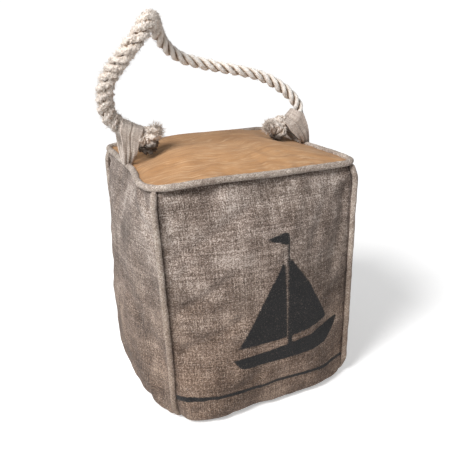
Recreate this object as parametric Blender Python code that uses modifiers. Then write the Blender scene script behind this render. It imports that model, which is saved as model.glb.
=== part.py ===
"""Weighted fabric door-stop cube with a leather top, piped seams and a rope handle.

Metres, +Z up. The origin is the centre of the base, the front panel faces -Y and the left
panel faces -X. The handle runs from the left loop to the right loop, in the X direction.
"""
import math

import bmesh
import bpy
import numpy as np
from mathutils import Vector

# Driving dimensions of the bag
WIDTH = 0.180                 # between the centre lines of the left and right piping
DEPTH = 0.180                 # between the centre lines of the front and back piping
HEIGHT = 0.218                # from the base to the centre line of the top piping
CANVAS = 0.0012               # canvas thickness
LEATHER = 0.0014              # thickness of the leather top
SIDE_BULGE = 0.0090           # how far the middle of a side panel stands out of its edges
TOP_CROWN = 0.0150            # how far the middle of the leather stands above its edges
SIDE_GRID = 8                 # grid steps across a side panel

# Seams and piping
CORD_RADIUS = 0.0020          # filler cord inside the piping
STRIP_WALL = 0.0008           # canvas strip folded round the cord
ALLOWANCE = 0.0090            # width of every seam allowance
CORNER_RADIUS = 0.0120        # corner radius of the top piping, on its centre line
SEAM_GAP = 0.0003             # clearance between layers that touch
BASE_SEAM_GAP = 0.0008        # clearance between the layers of the plain seam round the base
PANEL_CLEARANCE = 0.0006      # a panel's edge to the round of the piping

# Handle, knots and loops
ROPE_DIAMETER = 0.013
LOOP_WALL = 0.0015            # folded canvas strap
LOOP_FOOT_HALF = 0.0040       # half width of the gathered strap at the seam
LOOP_FOOT_RISE = 0.0059       # height of the strap's foot over the top piping centre line
HINGE_RISE = 0.0035           # height of the lean axis over the top piping centre line
PIVOT_RISE = 0.0322           # height of the handle's pivot over the top piping centre line
LOOP_FOOT_INSET = 0.0015      # loops are sewn in this far inside the top piping's centre line
LEFT_LOOP_LEAN = 0.0010       # the loop's hole stands this far inwards of its foot
LEFT_LOOP_TILT = math.radians(25)
LEFT_LOOP_HALF = 0.0085       # half width of the strap where it is folded over the rope
LEFT_LOOP_HOLE = 0.0099       # inner radius of the fold, which leaves the rope room to turn
RIGHT_LOOP_LEAN = 0.0035
RIGHT_LOOP_TILT = math.radians(94)
RIGHT_LOOP_HALF = 0.0065
RIGHT_LOOP_HOLE = 0.0119
LEFT_KNOT_GAP = 0.0220        # from the loop's hole to the knot's centre, along X
LEFT_KNOT_RISE = 0.0210       # height of the knot's centre over the top piping centre line
LEFT_KNOT_HALF = (0.0118, 0.0130, 0.0118)
LEFT_KNOT_TILT = 0.0
RIGHT_KNOT_GAP = 0.0226
RIGHT_KNOT_RISE = 0.0185
RIGHT_KNOT_HALF = (0.0145, 0.0120, 0.0100)
RIGHT_KNOT_TILT = math.radians(22)

# Filling
SACK_CLEARANCE = 0.0006       # inner sack to the panels' allowances
SACK_WALL = 0.0006
SACK_BASE_GAP = 0.0006        # inner sack to the inside of the base panel
SACK_EDGE = 0.0100            # softness of the sack's lower edge and of its shoulder
SHOULDER_SHARE = 0.55         # share of the sack's width left above its shoulder
SHOULDER_RISE = 0.0090        # height over which the shoulder draws in
SAND_HEIGHT = 0.096           # depth of the sand
NECK_RADIUS = 0.0090          # gathered neck of the sack, where it is tied
NECK_HEIGHT = 0.034           # the tied neck stands this far above the sand
NECK_TAPER = 0.0100           # height over which the neck gathers to the tie
MOUTH_RADIUS = 0.0198         # the sack's mouth, which flares above the tie
MOUTH_HEIGHT = 0.0120
TIE_RADIUS = 0.0013           # thickness radius of the cord tied round the neck
WADDING_GAP = 0.0030          # clearance of the wadding to the leather and to the sack

# The rope's route from the left knot, out through the left loop, over to the right loop.
# The third value of each point is its height over the top piping's centre line.
ROPE_ROUTE = (
    (-0.0772, 0.0000, 0.0270), (-0.0875, 0.0000, 0.0322), (-0.0970, -0.0010, 0.0380),
    (-0.1040, -0.0045, 0.0465), (-0.1075, -0.0100, 0.0575), (-0.1080, -0.0160, 0.0690),
    (-0.1045, -0.0230, 0.0815), (-0.0970, -0.0310, 0.0930), (-0.0880, -0.0380, 0.1050),
    (-0.0785, -0.0405, 0.1165), (-0.0695, -0.0300, 0.1245), (-0.0620, -0.0150, 0.1205),
    (-0.0550, -0.0040, 0.1100), (-0.0455, 0.0020, 0.0990), (-0.0330, 0.0050, 0.0905),
    (-0.0150, 0.0060, 0.0845), (0.0050, 0.0055, 0.0795), (0.0250, 0.0045, 0.0750),
    (0.0440, 0.0035, 0.0695), (0.0600, 0.0025, 0.0615), (0.0735, 0.0015, 0.0515),
    (0.0825, 0.0005, 0.0410), (0.0850, 0.0000, 0.0310), (0.0820, 0.0000, 0.0225),
)
ROPE_STEP = 0.0090            # distance between the rope tube's points

STRIP_INNER = CORD_RADIUS + SEAM_GAP
STRIP_OUTER = STRIP_INNER + STRIP_WALL
LEG_INNER = SEAM_GAP / 2
LEG_OUTER = LEG_INNER + STRIP_WALL
PANEL_OFFSET = LEG_OUTER + SEAM_GAP
BEND_REACH = math.sqrt((STRIP_OUTER + PANEL_CLEARANCE) ** 2 - PANEL_OFFSET ** 2)
FACE_INSET = (BEND_REACH - PANEL_OFFSET) / math.sqrt(2)
BEND_IN = (BEND_REACH + PANEL_OFFSET) / math.sqrt(2)
PLAIN_BEND_IN = math.sqrt(2) * BASE_SEAM_GAP / 2
RIM = ALLOWANCE / math.sqrt(2)
FLANGE_END = BEND_REACH + ALLOWANCE
SACK_GAP = BEND_IN + RIM + CANVAS + SACK_CLEARANCE

CANVAS_COLOUR = (0.40, 0.34, 0.28)
PIPING_COLOUR = (0.46, 0.40, 0.33)
LEATHER_COLOUR = (0.52, 0.27, 0.10)
ROPE_COLOUR = (0.72, 0.64, 0.52)
SAND_COLOUR = (0.62, 0.50, 0.33)
WHITE_COLOUR = (0.82, 0.82, 0.80)


def clear_scene():
    """Remove every object of the scene this script starts in."""
    for item in list(bpy.data.objects):
        bpy.data.objects.remove(item, do_unlink=True)


def new_collection(name):
    """Make a collection in the scene and return it."""
    collection = bpy.data.collections.new(name)
    bpy.context.scene.collection.children.link(collection)
    return collection


def finish(obj, collection, colour, roughness):
    """Put an object in its collection and give it a material of its own."""
    for owner in list(obj.users_collection):
        owner.objects.unlink(obj)
    collection.objects.link(obj)
    material = bpy.data.materials.new(obj.name)
    material.use_nodes = True
    shader = material.node_tree.nodes["Principled BSDF"]
    shader.inputs["Base Color"].default_value = (*colour, 1.0)
    shader.inputs["Roughness"].default_value = roughness
    shader.inputs["Metallic"].default_value = 0.0
    obj.data.materials.append(material)
    return obj


def mesh_object(name, points, faces, smooth=True):
    """Make a mesh object from point and face lists, joining points that coincide."""
    mesh = bpy.data.meshes.new(name)
    mesh.from_pydata([tuple(p) for p in points], [], faces)
    bm = bmesh.new()
    bm.from_mesh(mesh)
    bmesh.ops.remove_doubles(bm, verts=bm.verts, dist=1e-6)
    bm.to_mesh(mesh)
    bm.free()
    if smooth:
        mesh.shade_smooth()
    return bpy.data.objects.new(name, mesh)


def solidify(obj, thickness, offset=-1.0):
    """Thicken an open surface towards its inner side."""
    wall = obj.modifiers.new("Wall", 'SOLIDIFY')
    wall.thickness = thickness
    wall.offset = offset
    wall.use_even_offset = True
    wall.use_quality_normals = True


def grid_faces(rows, columns, wrap=False):
    """Quads of a grid of points stored row by row; wrap joins the last column to the first."""
    faces = []
    last = columns if wrap else columns - 1
    for row in range(rows - 1):
        for column in range(last):
            right = (column + 1) % columns
            low = row * columns
            high = low + columns
            faces.append((low + column, low + right, high + right, high + column))
    return faces


def rounded_ring(half_x, half_y, radius, corner_steps, side_steps):
    """Points and outward directions round a rectangle with round corners, anticlockwise."""
    points = []
    normals = []
    for quarter in range(4):
        start = quarter * math.pi / 2
        sign_x = (1, -1, -1, 1)[quarter]
        sign_y = (1, 1, -1, -1)[quarter]
        centre = Vector((sign_x * (half_x - radius), sign_y * (half_y - radius)))
        for step in range(corner_steps + 1):
            angle = start + step * math.pi / 2 / corner_steps
            direction = Vector((math.cos(angle), math.sin(angle)))
            points.append(centre + radius * direction)
            normals.append(direction)
        length = 2 * (half_x - radius) if quarter % 2 == 0 else 2 * (half_y - radius)
        along = Vector((-math.sin(start + math.pi / 2), math.cos(start + math.pi / 2)))
        corner_end = points[-1]
        outward = normals[-1]
        for step in range(1, side_steps):
            points.append(corner_end + along * length * step / side_steps)
            normals.append(outward)
    return points, normals


def side_panel(collection, name, origin, across, out, half_width, bend_side):
    """A canvas side panel: a bulging face whose four edges are turned in for the seams.

    The face plane runs through origin. Its height runs from the base to the top piping, and
    every edge is turned in by 45 degrees, so that its allowance lies along the piping's legs,
    or, at the bottom, against the base panel's allowance.
    """
    low = PLAIN_BEND_IN
    high = HEIGHT - BEND_IN
    half = half_width - bend_side
    inner_u = np.linspace(-half, half, SIDE_GRID + 1)
    inner_v = np.linspace(low, high, SIDE_GRID + 1)
    u_lines = np.concatenate(([-half + RIM], inner_u, [half - RIM]))
    v_lines = np.concatenate(([low + RIM], inner_v, [high - RIM]))
    u, v = np.meshgrid(u_lines, v_lines)
    shape = (1 - (u / half) ** 2) * (1 - ((2 * v - low - high) / (high - low)) ** 2)
    depth = SIDE_BULGE * shape
    rim = np.zeros(u.shape, bool)
    rim[0, :] = rim[-1, :] = rim[:, 0] = rim[:, -1] = True
    depth[rim] = -RIM
    u[0, 1:-1] = inner_u.clip(-half + RIM, half - RIM)
    u[-1, 1:-1] = u[0, 1:-1]
    v[1:-1, 0] = inner_v.clip(low + RIM, high - RIM)
    v[1:-1, -1] = v[1:-1, 0]
    points = np.zeros(u.shape + (3,))
    points += origin
    points += u[..., None] * np.array(across) + depth[..., None] * np.array(out)
    points[..., 2] += v
    size = SIDE_GRID + 3
    panel = mesh_object(name, points.reshape(-1, 3), grid_faces(size, size))
    solidify(panel, CANVAS)
    return finish(panel, collection, CANVAS_COLOUR, 0.95)


def base_panel(collection):
    """The flat canvas base, its four edges turned up inside the side panels."""
    half_x = WIDTH / 2 - FACE_INSET - PLAIN_BEND_IN
    half_y = DEPTH / 2 - FACE_INSET - PLAIN_BEND_IN
    steps = 2
    inner_x = np.linspace(-half_x, half_x, steps + 1)
    inner_y = np.linspace(-half_y, half_y, steps + 1)
    x_lines = np.concatenate(([-half_x + RIM], inner_x, [half_x - RIM]))
    y_lines = np.concatenate(([-half_y + RIM], inner_y, [half_y - RIM]))
    y, x = np.meshgrid(y_lines, x_lines)
    z = np.zeros(x.shape)
    z[0, :] = z[-1, :] = z[:, 0] = z[:, -1] = RIM
    x[:, 0] = x[:, -1] = x_lines.clip(-half_x + RIM, half_x - RIM)
    y[0, :] = y[-1, :] = y_lines.clip(-half_y + RIM, half_y - RIM)
    points = np.stack((x, y, z), axis=-1).reshape(-1, 3)
    panel = mesh_object("base_panel", points, grid_faces(steps + 3, steps + 3), smooth=False)
    solidify(panel, CANVAS)
    return finish(panel, collection, CANVAS_COLOUR, 0.95)


def crown_height(x, y):
    """Height of the leather's outer face at a place in plan, above the base."""
    a = abs(x) / (WIDTH / 2 - BEND_IN)
    b = abs(y) / (DEPTH / 2 - BEND_IN)
    return HEIGHT - FACE_INSET + TOP_CROWN * max(0.0, 1 - a * a) * max(0.0, 1 - b * b)


def top_panel(collection):
    """The crowned leather top, its edge turned down all round inside the top piping."""
    outline, normals = rounded_ring(WIDTH / 2, DEPTH / 2, CORNER_RADIUS, 3, 6)
    bend = [p - n * BEND_IN for p, n in zip(outline, normals)]
    edge = [p - n * (BEND_IN + RIM) for p, n in zip(outline, normals)]
    count = len(outline)
    points = [(p.x, p.y, HEIGHT - FACE_INSET - RIM) for p in edge]
    points += [(p.x, p.y, HEIGHT - FACE_INSET) for p in bend]
    rings = (0.84, 0.66, 0.46, 0.23)
    for share in rings:
        points += [(p.x * share, p.y * share, crown_height(p.x * share, p.y * share)) for p in bend]
    points.append((0.0, 0.0, crown_height(0.0, 0.0)))
    faces = grid_faces(len(rings) + 2, count, wrap=True)
    first = (len(rings) + 1) * count
    faces += [(first + k, first + (k + 1) % count, len(points) - 1) for k in range(count)]
    panel = mesh_object("top_panel", points, faces)
    solidify(panel, LEATHER)
    return finish(panel, collection, LEATHER_COLOUR, 0.6)


def strip_outline(steps_out=12, steps_in=9):
    """Section of a piping strip: an open round with two legs side by side along +t."""
    outer_start = math.asin(LEG_OUTER / STRIP_OUTER)
    inner_start = math.asin(LEG_INNER / STRIP_INNER)
    points = [(FLANGE_END, LEG_OUTER)]
    for step in range(steps_out + 1):
        angle = outer_start + (2 * math.pi - 2 * outer_start) * step / steps_out
        points.append((STRIP_OUTER * math.cos(angle), STRIP_OUTER * math.sin(angle)))
    points.append((FLANGE_END, -LEG_OUTER))
    points.append((FLANGE_END, -LEG_INNER))
    for step in range(steps_in + 1):
        angle = 2 * math.pi - inner_start - (2 * math.pi - 2 * inner_start) * step / steps_in
        points.append((STRIP_INNER * math.cos(angle), STRIP_INNER * math.sin(angle)))
    points.append((FLANGE_END, LEG_INNER))
    return points


def vertical_piping(collection, name, sign_x, sign_y):
    """A corner's piping: the folded strip and, inside it, the filler cord.

    The strip's ends are cut on a slope, to clear the base panel and the top piping's legs.
    """
    corner = Vector((sign_x * WIDTH / 2, sign_y * DEPTH / 2))
    inward = Vector((-sign_x, -sign_y)).normalized()
    side = Vector((-inward.y, inward.x))
    top_limit = HEIGHT - STRIP_OUTER - SEAM_GAP
    bm = bmesh.new()
    plan = [corner + inward * t + side * w for t, w in strip_outline()]
    shares = [t / math.sqrt(2) for t, w in strip_outline()]
    leg_clear = math.sqrt(2) * (LEG_OUTER + SEAM_GAP)
    base_rise = 3 * SEAM_GAP - FACE_INSET - PLAIN_BEND_IN
    bottom = []
    top = []
    for point, share in zip(plan, shares):
        low = max(SEAM_GAP, share + base_rise)
        high = min(top_limit, HEIGHT - share - leg_clear)
        bottom.append(bm.verts.new((point.x, point.y, low)))
        top.append(bm.verts.new((point.x, point.y, high)))
    count = len(plan)
    bm.faces.new(reversed(bottom))
    bm.faces.new(top)
    for k in range(count):
        nxt = (k + 1) % count
        bm.faces.new((bottom[k], bottom[nxt], top[nxt], top[k]))
    bmesh.ops.recalc_face_normals(bm, faces=bm.faces)
    mesh = bpy.data.meshes.new(name + "_strip")
    bm.to_mesh(mesh)
    bm.free()
    strip = bpy.data.objects.new(name + "_strip", mesh)
    finish(strip, collection, PIPING_COLOUR, 0.95)
    length = top_limit - 2 * SEAM_GAP
    bpy.ops.mesh.primitive_cylinder_add(
        vertices=10, radius=CORD_RADIUS, depth=length,
        location=(corner.x, corner.y, SEAM_GAP + length / 2))
    cord = bpy.context.object
    cord.name = name + "_cord"
    cord.data.name = cord.name
    return finish(cord, collection, WHITE_COLOUR, 0.9)


def flat_curve(name, points, cyclic=True):
    """A flat curve through the given points, as straight stretches."""
    curve = bpy.data.curves.new(name, 'CURVE')
    curve.dimensions = '2D'
    spline = curve.splines.new('POLY')
    spline.points.add(len(points) - 1)
    for target, point in zip(spline.points, points):
        target.co = (point[0], point[1], 0.0, 1.0)
    spline.use_cyclic_u = cyclic
    return curve


def top_piping(collection, guides):
    """The piping round the leather top: a folded strip and the cord inside it."""
    outline, normals = rounded_ring(WIDTH / 2, DEPTH / 2, CORNER_RADIUS, 4, 2)
    slope = math.sqrt(0.5)
    section = [((w - t) * slope, -(t + w) * slope) for t, w in reversed(strip_outline())]
    profile = bpy.data.objects.new("top_piping_section", flat_curve("top_piping_section", section))
    guides.objects.link(profile)
    profile.hide_render = True
    profile.display_type = 'WIRE'
    path = flat_curve("top_piping_strip", [(p.x, p.y) for p in outline])
    path.dimensions = '3D'
    path.twist_mode = 'Z_UP'
    path.bevel_mode = 'OBJECT'
    path.bevel_object = profile
    strip = bpy.data.objects.new("top_piping_strip", path)
    strip.location.z = HEIGHT
    finish(strip, collection, PIPING_COLOUR, 0.95)
    core = flat_curve("top_piping_cord", [(p.x, p.y) for p in outline])
    core.dimensions = '3D'
    core.twist_mode = 'Z_UP'
    core.bevel_depth = CORD_RADIUS
    core.bevel_resolution = 2
    cord = bpy.data.objects.new("top_piping_cord", core)
    cord.location.z = HEIGHT
    return finish(cord, collection, WHITE_COLOUR, 0.9)


def smooth_route(route, step):
    """Points about one step apart on a centripetal Catmull-Rom curve through the route."""
    pts = np.array(route)
    pts = np.vstack((2 * pts[0] - pts[1], pts, 2 * pts[-1] - pts[-2]))
    knots = np.concatenate(([0.0], np.cumsum(np.linalg.norm(np.diff(pts, axis=0), axis=1) ** 0.5)))
    dense = []
    for k in range(1, len(pts) - 2):
        t0, t1, t2, t3 = knots[k - 1:k + 3]
        t = np.linspace(t1, t2, 24, endpoint=False)[:, None]
        a1 = (t1 - t) / (t1 - t0) * pts[k - 1] + (t - t0) / (t1 - t0) * pts[k]
        a2 = (t2 - t) / (t2 - t1) * pts[k] + (t - t1) / (t2 - t1) * pts[k + 1]
        a3 = (t3 - t) / (t3 - t2) * pts[k + 1] + (t - t2) / (t3 - t2) * pts[k + 2]
        b1 = (t2 - t) / (t2 - t0) * a1 + (t - t0) / (t2 - t0) * a2
        b2 = (t3 - t) / (t3 - t1) * a2 + (t - t1) / (t3 - t1) * a3
        dense.append((t2 - t) / (t2 - t1) * b1 + (t - t1) / (t2 - t1) * b2)
    dense = np.vstack(dense + [pts[-2:-1]])
    run = np.concatenate(([0.0], np.cumsum(np.linalg.norm(np.diff(dense, axis=0), axis=1))))
    count = int(round(run[-1] / step)) + 1
    marks = np.linspace(0.0, run[-1], count)
    return np.stack([np.interp(marks, run, dense[:, axis]) for axis in range(3)], axis=1)


def axis_empty(collection, name, place):
    """An empty on a joint's axis, which the pieces that move with the joint hang on."""
    empty = bpy.data.objects.new(name, None)
    empty.empty_display_size = 0.01
    empty.location = place
    collection.objects.link(empty)
    return empty


def hang(pieces, empty):
    """Parent pieces to an axis empty without moving them."""
    for piece in pieces:
        piece.parent = empty
        piece.location -= empty.location


def handle_rope(collection):
    """The rope handle, as a plain tube from knot to knot."""
    points = smooth_route(ROPE_ROUTE, ROPE_STEP) + np.array((0.0, 0.0, HEIGHT))
    curve = bpy.data.curves.new("handle_rope", 'CURVE')
    curve.dimensions = '3D'
    curve.bevel_depth = ROPE_DIAMETER / 2
    curve.bevel_resolution = 3
    curve.use_fill_caps = True
    spline = curve.splines.new('POLY')
    spline.points.add(len(points) - 1)
    for target, point in zip(spline.points, points):
        target.co = (*point, 1.0)
    rope = bpy.data.objects.new("handle_rope", curve)
    return finish(rope, collection, ROPE_COLOUR, 0.95)


def knot(collection, name, centre, half_sizes, tilt):
    """The outer shape of an overhand knot: a rounded block, turned about the Y axis by tilt.

    A subdivided cube keeps only a fixed share of its cage's size, so the cage is larger.
    """
    kept_share = 0.84
    bpy.ops.mesh.primitive_cube_add(size=2.0, location=centre, rotation=(0.0, tilt, 0.0))
    block = bpy.context.object
    block.name = name
    block.data.name = name
    for vertex in block.data.vertices:
        vertex.co = Vector([c * h for c, h in zip(vertex.co, half_sizes)]) / kept_share
    soft = block.modifiers.new("Round", 'SUBSURF')
    soft.levels = 3
    soft.render_levels = 3
    block.data.shade_smooth()
    return finish(block, collection, ROPE_COLOUR, 0.95)


def rope_loop(collection, name, foot_x, centre_x, tilt, half_width, hole):
    """A canvas strap, gathered at the seam and folded over the rope.

    Its rows run from the front foot, up the front leg, over the rope and down to the back
    foot. The hole's axis points away from the bag and up by tilt, and the strap widens from
    its gathered foot to the fold.
    """
    side = 1.0 if centre_x > 0 else -1.0
    centre = np.array((centre_x, 0.0, HEIGHT + PIVOT_RISE))
    foot = np.array((foot_x, 0.0, HEIGHT + LOOP_FOOT_RISE))
    axis = np.array((side * math.cos(tilt), 0.0, math.sin(tilt)))
    crown = np.array((-side * math.sin(tilt), 0.0, math.cos(tilt)))
    flat = np.array((side, 0.0, 0.0))
    lateral = np.array((0.0, 1.0, 0.0))
    radius = hole + LOOP_WALL / 2
    foot_gap = (LOOP_WALL + SEAM_GAP) / 2
    rows = []
    for share in (0.0, 0.25, 0.5, 0.75):
        place = foot + (centre - foot) * share
        spread = foot_gap + (radius - foot_gap) * math.sin(min(1.0, share / 0.5) * math.pi / 2)
        direction = flat * (1 - share) + axis * share
        direction /= np.linalg.norm(direction)
        width = LOOP_FOOT_HALF + (half_width - LOOP_FOOT_HALF) * share
        rows.append((place - lateral * spread, direction * width))
    for step in range(11):
        angle = -math.pi / 2 + math.pi * step / 10
        place = centre + radius * (math.cos(angle) * crown + math.sin(angle) * lateral)
        rows.append((place, axis * half_width))
    for place, width in reversed(rows[:4]):
        rows.append((place * np.array((1.0, -1.0, 1.0)), width))
    points = []
    for place, width in rows:
        points += [place - width * side, place, place + width * side]
    strap = mesh_object(name, points, grid_faces(len(rows), 3))
    wall = strap.modifiers.new("Wall", 'SOLIDIFY')
    wall.thickness = LOOP_WALL
    wall.offset = 0.0
    wall.use_even_offset = True
    return finish(strap, collection, CANVAS_COLOUR, 0.95)


def soft_ring(half_x, half_y, power, z, count=32):
    """A ring of points on a squarish oval; power 2 is an ellipse and 6 is nearly a square."""
    ring = []
    for step in range(count):
        angle = 2 * math.pi * (step + 0.5) / count
        c, s = math.cos(angle), math.sin(angle)
        reach = (abs(c) ** power + abs(s) ** power) ** (-1.0 / power)
        ring.append((half_x * reach * c, half_y * reach * s, z))
    return ring


def ring_solid(name, rings, close_start=True, close_end=True):
    """A surface through rings of points, with or without a fan of faces at each end."""
    count = len(rings[0])
    points = [p for ring in rings for p in ring]
    faces = grid_faces(len(rings), count, wrap=True)
    if close_start:
        faces.append(tuple(reversed(range(count))))
    if close_end:
        first = (len(rings) - 1) * count
        faces.append(tuple(range(first, first + count)))
    return mesh_object(name, points, faces)


def filling(collection):
    """The inner sack with its tied neck, the sand in it and the wadding over it."""
    half_x = WIDTH / 2 - SACK_GAP
    half_y = DEPTH / 2 - SACK_GAP
    floor = CANVAS + SACK_BASE_GAP
    sand_floor = floor + SACK_WALL + SEAM_GAP
    sand_top = sand_floor + SAND_HEIGHT
    edge = SACK_EDGE
    shoulder = sand_top + edge
    shoulder_top = shoulder + SHOULDER_RISE
    neck = sand_top + NECK_HEIGHT
    rings = [
        soft_ring(half_x - edge, half_y - edge, 6, floor),
        soft_ring(half_x, half_y, 6, floor + edge),
        soft_ring(half_x, half_y, 6, sand_top - edge),
        soft_ring(half_x - edge, half_y - edge, 5, shoulder),
        soft_ring(half_x * SHOULDER_SHARE, half_y * SHOULDER_SHARE, 3, shoulder_top),
        soft_ring(2.0 * NECK_RADIUS, 2.0 * NECK_RADIUS, 2, neck - NECK_TAPER),
        soft_ring(NECK_RADIUS, NECK_RADIUS, 2, neck),
        soft_ring(MOUTH_RADIUS, MOUTH_RADIUS, 2, neck + MOUTH_HEIGHT),
    ]
    sack = ring_solid("sand_liner", rings, close_end=False)
    solidify(sack, SACK_WALL)
    finish(sack, collection, WHITE_COLOUR, 0.7)
    clear = SACK_WALL + SEAM_GAP
    rings = [
        soft_ring(half_x - edge - clear, half_y - edge - clear, 6, sand_floor),
        soft_ring(half_x - clear, half_y - clear, 6, sand_floor + edge),
        soft_ring(half_x - clear, half_y - clear, 6, sand_top - edge - clear),
        soft_ring(half_x - edge - 2 * clear, half_y - edge - 2 * clear, 5, sand_top),
    ]
    sand = ring_solid("sand_fill", rings)
    finish(sand, collection, SAND_COLOUR, 1.0)
    bpy.ops.mesh.primitive_torus_add(
        location=(0.0, 0.0, neck), major_segments=24, minor_segments=8,
        major_radius=NECK_RADIUS + SEAM_GAP + 1.5 * TIE_RADIUS, minor_radius=TIE_RADIUS)
    tie = bpy.context.object
    tie.name = "liner_tie"
    tie.data.name = tie.name
    tie.data.shade_smooth()
    finish(tie, collection, ROPE_COLOUR, 0.9)
    wadding_low = shoulder_top + 2 * WADDING_GAP
    hollow = MOUTH_RADIUS + WADDING_GAP
    hollow_top = neck + MOUTH_HEIGHT + 2 * WADDING_GAP
    shelf = HEIGHT - FACE_INSET - LEATHER - WADDING_GAP
    top_rings = []
    for share in (0.94, 0.7, 0.42, 0.2):
        ring = soft_ring(half_x * share, half_y * share, 5, 0.0)
        top_rings.append([(x, y, crown_height(x, y) - LEATHER - WADDING_GAP) for x, y, z in ring])
    rings = [
        soft_ring(hollow * 0.6, hollow * 0.6, 2, hollow_top),
        soft_ring(hollow, hollow, 2, hollow_top - WADDING_GAP),
        soft_ring(hollow, hollow, 2, wadding_low + 0.004),
        soft_ring(half_x * 0.70, half_y * 0.70, 4, wadding_low),
        soft_ring(half_x - edge, half_y - edge, 5, wadding_low),
        soft_ring(half_x, half_y, 6, wadding_low + edge),
        soft_ring(half_x, half_y, 6, shelf - RIM - 2 * WADDING_GAP),
    ] + top_rings
    wadding = ring_solid("fibre_fill", rings)
    return finish(wadding, collection, WHITE_COLOUR, 1.0)


def build():
    """Build every piece of the bag into its collection."""
    clear_scene()
    bag = new_collection("weighted_door_stop")
    guides = new_collection("guides")
    side_x = WIDTH / 2 - FACE_INSET
    side_y = DEPTH / 2 - FACE_INSET
    side_panel(bag, "front_panel", (0, -side_y, 0), (1, 0, 0), (0, -1, 0), WIDTH / 2, BEND_IN)
    side_panel(bag, "back_panel", (0, side_y, 0), (-1, 0, 0), (0, 1, 0), WIDTH / 2, BEND_IN)
    side_panel(bag, "left_panel", (-side_x, 0, 0), (0, -1, 0), (-1, 0, 0), DEPTH / 2, BEND_IN)
    side_panel(bag, "right_panel", (side_x, 0, 0), (0, 1, 0), (1, 0, 0), DEPTH / 2, BEND_IN)
    base_panel(bag)
    top_panel(bag)
    top_piping(bag, guides)
    for name, sign_x, sign_y in (("front_left_piping", -1, -1), ("front_right_piping", 1, -1),
                                 ("back_left_piping", -1, 1), ("back_right_piping", 1, 1)):
        vertical_piping(bag, name, sign_x, sign_y)
    foot_x = WIDTH / 2 - LOOP_FOOT_INSET
    left_x = -foot_x + LEFT_LOOP_LEAN
    right_x = foot_x - RIGHT_LOOP_LEAN
    left_loop = rope_loop(bag, "left_rope_loop", -foot_x, left_x,
                          LEFT_LOOP_TILT, LEFT_LOOP_HALF, LEFT_LOOP_HOLE)
    right_loop = rope_loop(bag, "right_rope_loop", foot_x, right_x,
                           RIGHT_LOOP_TILT, RIGHT_LOOP_HALF, RIGHT_LOOP_HOLE)
    rope = handle_rope(bag)
    left_place = (left_x + LEFT_KNOT_GAP, 0.0, HEIGHT + LEFT_KNOT_RISE)
    right_place = (right_x - RIGHT_KNOT_GAP, 0.0, HEIGHT + RIGHT_KNOT_RISE)
    left_knot = knot(bag, "left_rope_knot", left_place, LEFT_KNOT_HALF, LEFT_KNOT_TILT)
    right_knot = knot(bag, "right_rope_knot", right_place, RIGHT_KNOT_HALF, RIGHT_KNOT_TILT)
    lean_z = HEIGHT + HINGE_RISE
    hang([left_loop], axis_empty(guides, "left_loop_axis", (-foot_x, 0.0, lean_z)))
    hang([right_loop], axis_empty(guides, "right_loop_axis", (foot_x, 0.0, lean_z)))
    handle_axis = axis_empty(guides, "handle_axis", (0.0, 0.0, HEIGHT + PIVOT_RISE))
    hang([rope, left_knot, right_knot], handle_axis)
    filling(bag)


build()
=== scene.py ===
import math

import bmesh
import bpy
import numpy as np
from mathutils import Matrix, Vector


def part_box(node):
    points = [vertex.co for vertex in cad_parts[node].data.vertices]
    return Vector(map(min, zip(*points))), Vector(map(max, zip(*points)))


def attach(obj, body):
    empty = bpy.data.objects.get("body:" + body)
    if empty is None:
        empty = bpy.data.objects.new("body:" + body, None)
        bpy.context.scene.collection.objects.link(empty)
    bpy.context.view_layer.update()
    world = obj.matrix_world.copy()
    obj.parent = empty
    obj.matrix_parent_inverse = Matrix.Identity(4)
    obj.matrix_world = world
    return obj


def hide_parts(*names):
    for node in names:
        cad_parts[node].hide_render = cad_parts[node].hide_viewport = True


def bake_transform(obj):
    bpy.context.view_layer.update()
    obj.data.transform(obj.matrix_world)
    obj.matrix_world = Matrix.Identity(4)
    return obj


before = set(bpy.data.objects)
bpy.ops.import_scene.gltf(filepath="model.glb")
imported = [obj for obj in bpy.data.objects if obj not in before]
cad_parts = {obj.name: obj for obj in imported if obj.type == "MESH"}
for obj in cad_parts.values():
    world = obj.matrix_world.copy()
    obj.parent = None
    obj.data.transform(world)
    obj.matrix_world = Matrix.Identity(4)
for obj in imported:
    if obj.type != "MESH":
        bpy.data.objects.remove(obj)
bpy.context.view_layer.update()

scene = bpy.context.scene

# ---- Camera -----------------------------------------------------------------------------
# A person stands by the bag and looks down at it from its left, near enough for the
# verticals to draw together towards the floor.

EYE = (-0.2074, -0.5099, 0.3470)
TURN = math.radians(-22.454)              # less than 0 is to the right
TIP = math.radians(20.255)                # downwards
ROLL = math.radians(-1.841)               # a slight lean of the head
FOCAL_LENGTH, FILM_WIDTH = 46.66, 36.0    # millimetres
backward = np.array((
    math.sin(TURN) * math.cos(TIP), -math.cos(TURN) * math.cos(TIP), math.sin(TIP)))
level = np.array((math.cos(TURN), math.sin(TURN), 0.0))
upright = np.cross(backward, level)
cross_axis = math.cos(ROLL) * level + math.sin(ROLL) * upright
up_axis = math.cos(ROLL) * upright - math.sin(ROLL) * level
camera = bpy.data.objects.new("camera", bpy.data.cameras.new("camera"))
camera.data.lens = FOCAL_LENGTH
camera.data.sensor_width = FILM_WIDTH
camera.matrix_world = Matrix([[*row, eye] for row, eye in zip(
    np.stack((cross_axis, up_axis, backward), axis=1), EYE)] + [[0, 0, 0, 1]])
scene.collection.objects.link(camera)
scene.camera = camera

# ---- Rope handle ------------------------------------------------------------------------
# One length of three-strand cotton and jute rope. Each strand is seven soft yarns, and the
# rope is worn, thick and matted on the left leg, and clean and tighter towards the right.

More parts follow.
